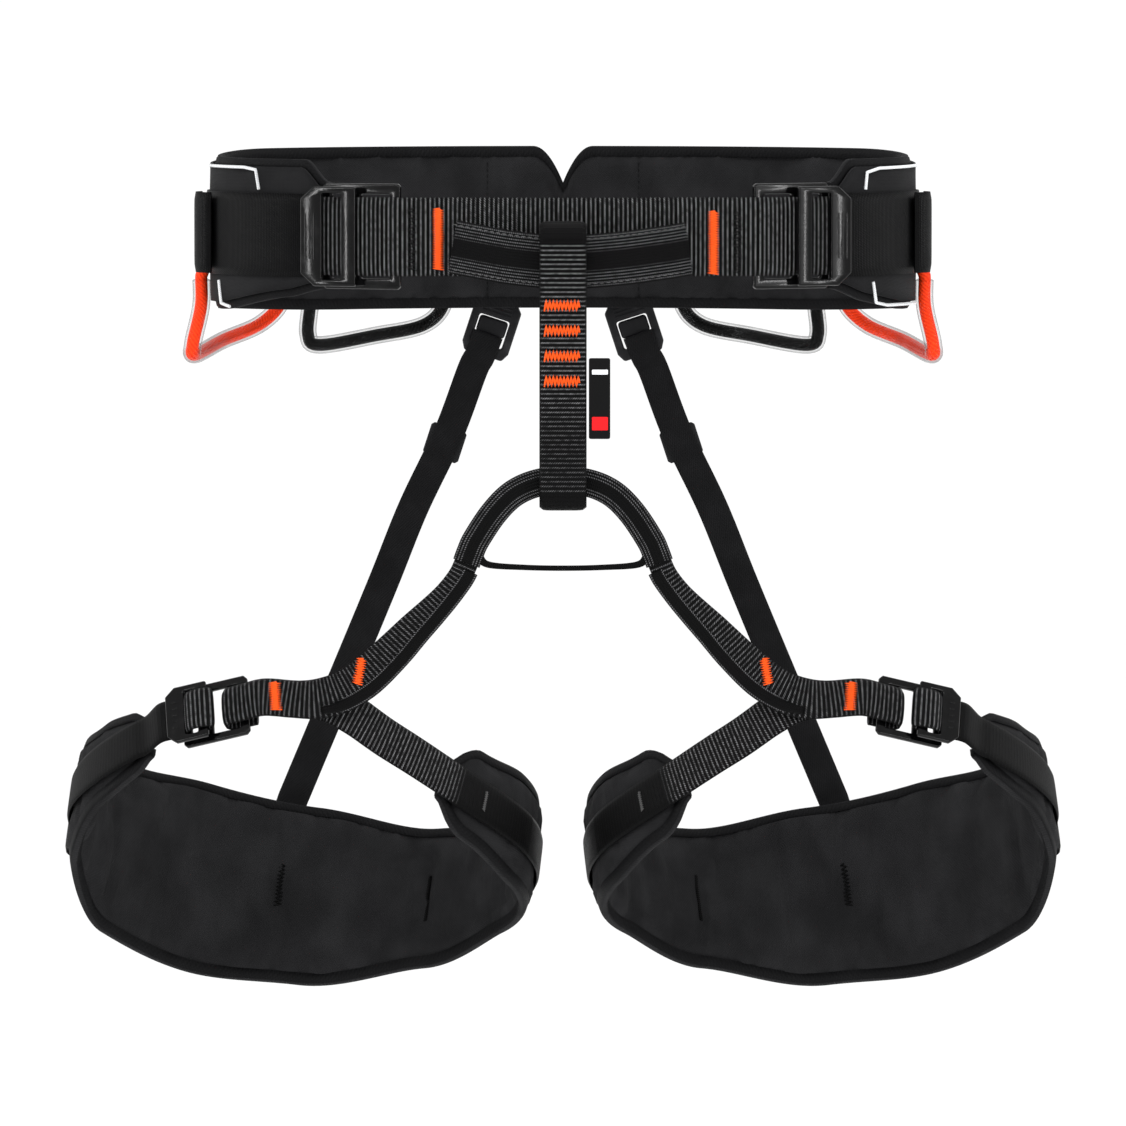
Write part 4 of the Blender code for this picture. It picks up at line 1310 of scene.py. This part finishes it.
def make_gear_loop(name, start, end, corner, low, far_low, surface):
    """A cord in a clear tube that hangs from the belt between two angles."""
    reach = end - start
    sewn, clear = 0.01065, 0.0153  # the tube's distance from the pad's middle at its ends and where it hangs
    points = [
        waist(start, sewn, -0.0240),
        waist(start + 0.04 * reach, 0.01115, -0.0400),
        waist(corner - 0.04 * reach, clear, low + 0.0060),
        waist(corner + 0.05 * reach, clear, low),
        waist(start + 0.55 * reach, clear, 0.55 * low + 0.45 * far_low),
        waist(start + 0.88 * reach, clear, far_low),
        waist(end, sewn, far_low + 0.0120),
        waist(end, sewn, -0.0240),
    ]
    path, _along = evenly(curve_through(points, 14), 0.0012)
    body = f"gear_{name}"
    # The cord itself goes on past the tube's ends, up to the belt's webbing.
    tips = [waist([start, start], (0.0092, 0.0100), (-0.0203, -0.0222)),
            waist([end, end], (0.0100, 0.0092), (-0.0222, -0.0203))]
    cord = thread(f"gear_cord_{name}", np.vstack([tips[0], path, tips[1]]), CORE_RADIUS, surface, sides=14)
    finished(cord, body, "orange_cord" if surface is orange_cord else "black_cord", f"gear_core_{name}")
    sleeve_ = thread(f"gear_sleeve_{name}", path[2:-2], TUBE_RADIUS, tube_clear, sides=20)
    finished(sleeve_, body, "clear_tube", f"gear_tube_{name}")


for side_name, side_sign in SIDES.items():
    make_riser(side_name, side_sign)
for loop_name, loop_values in GEAR_LOOPS.items():
    make_gear_loop(loop_name, *loop_values)


# ---------------------------------------------------------------- floor, light and camera
# name: (place, height it points at, size, power)
LIGHTS = {
    "key": ((-1.1, -2.2, 1.5), -0.2, (1.4, 1.0), 14),
    "fill": ((1.6, -1.8, 0.3), -0.25, (1.2, 1.4), 12),
    "top": ((0.2, 0.6, 2.2), -0.1, (1.8, 1.2), 20),
    "rim_left": ((-2.0, 0.9, 0.4), -0.2, (0.7, 1.6), 14),
    "rim_right": ((2.0, 0.9, 0.4), -0.2, (0.7, 1.6), 14),
    "strip_high": ((-0.4, -2.6, 2.4), -0.1, (2.2, 0.1), 34),
    "strip_left": ((-2.2, -2.0, 0.5), -0.1, (0.1, 1.8), 24),
    "strip_right": ((2.3, -1.9, 0.6), -0.1, (0.1, 1.8), 20),
}


def area_light(name, place_, target, size, power):
    """A soft rectangular light aimed at a point."""
    light = bpy.data.lights.new(name, "AREA")
    light.shape = "RECTANGLE"
    light.size, light.size_y = size
    light.energy = power
    obj = bpy.data.objects.new(name, light)
    obj.location = place_
    obj.rotation_euler = (Vector(target) - Vector(place_)).to_track_quat("-Z", "Y").to_euler()
    bpy.context.scene.collection.objects.link(obj)


FLOOR_BELOW = 0.60  # the floor's distance below the harness
CAMERA_AWAY = 6.0
CAMERA_LIFT = math.radians(3.5)
CAMERA_TARGET = Vector((0.0, 0.0, -0.176))


def make_stage():
    """A pale floor well below, a white surround and soft studio light."""
    scene = bpy.context.scene
    bpy.ops.mesh.primitive_plane_add(size=24, location=(0, 0, float(cad_low[2]) - FLOOR_BELOW))
    floor = bpy.context.active_object
    floor.name = "floor"
    pale = bpy.data.materials.new("floor_white")
    pale.use_nodes = True
    shader = pale.node_tree.nodes["Principled BSDF"]
    shader.inputs["Base Color"].default_value = (0.98, 0.98, 0.98, 1)
    shader.inputs["Roughness"].default_value = 0.9
    floor.data.materials.append(pale)
    world = bpy.data.worlds.new("studio")
    world.use_nodes = True
    surround = world.node_tree.nodes["Background"]
    surround.inputs["Color"].default_value = (1.0, 1.0, 1.0, 1)
    surround.inputs["Strength"].default_value = 1.03
    scene.world = world
    for name, (place_, height, size, power) in LIGHTS.items():
        area_light(name, place_, (0, 0, height), size, power)
    scene.view_settings.view_transform = "Standard"


def make_camera():
    """The camera in front of the harness, a little above it."""
    lens = bpy.data.cameras.new("camera")
    lens.lens = 362
    lens.sensor_width = 36
    lens.clip_end = 60
    camera = bpy.data.objects.new("camera", lens)
    back = Vector((0, -math.cos(CAMERA_LIFT), math.sin(CAMERA_LIFT)))
    camera.location = CAMERA_TARGET + CAMERA_AWAY * back
    camera.rotation_euler = (-back).to_track_quat("-Z", "Y").to_euler()
    bpy.context.scene.collection.objects.link(camera)
    bpy.context.scene.camera = camera


make_stage()
make_camera()
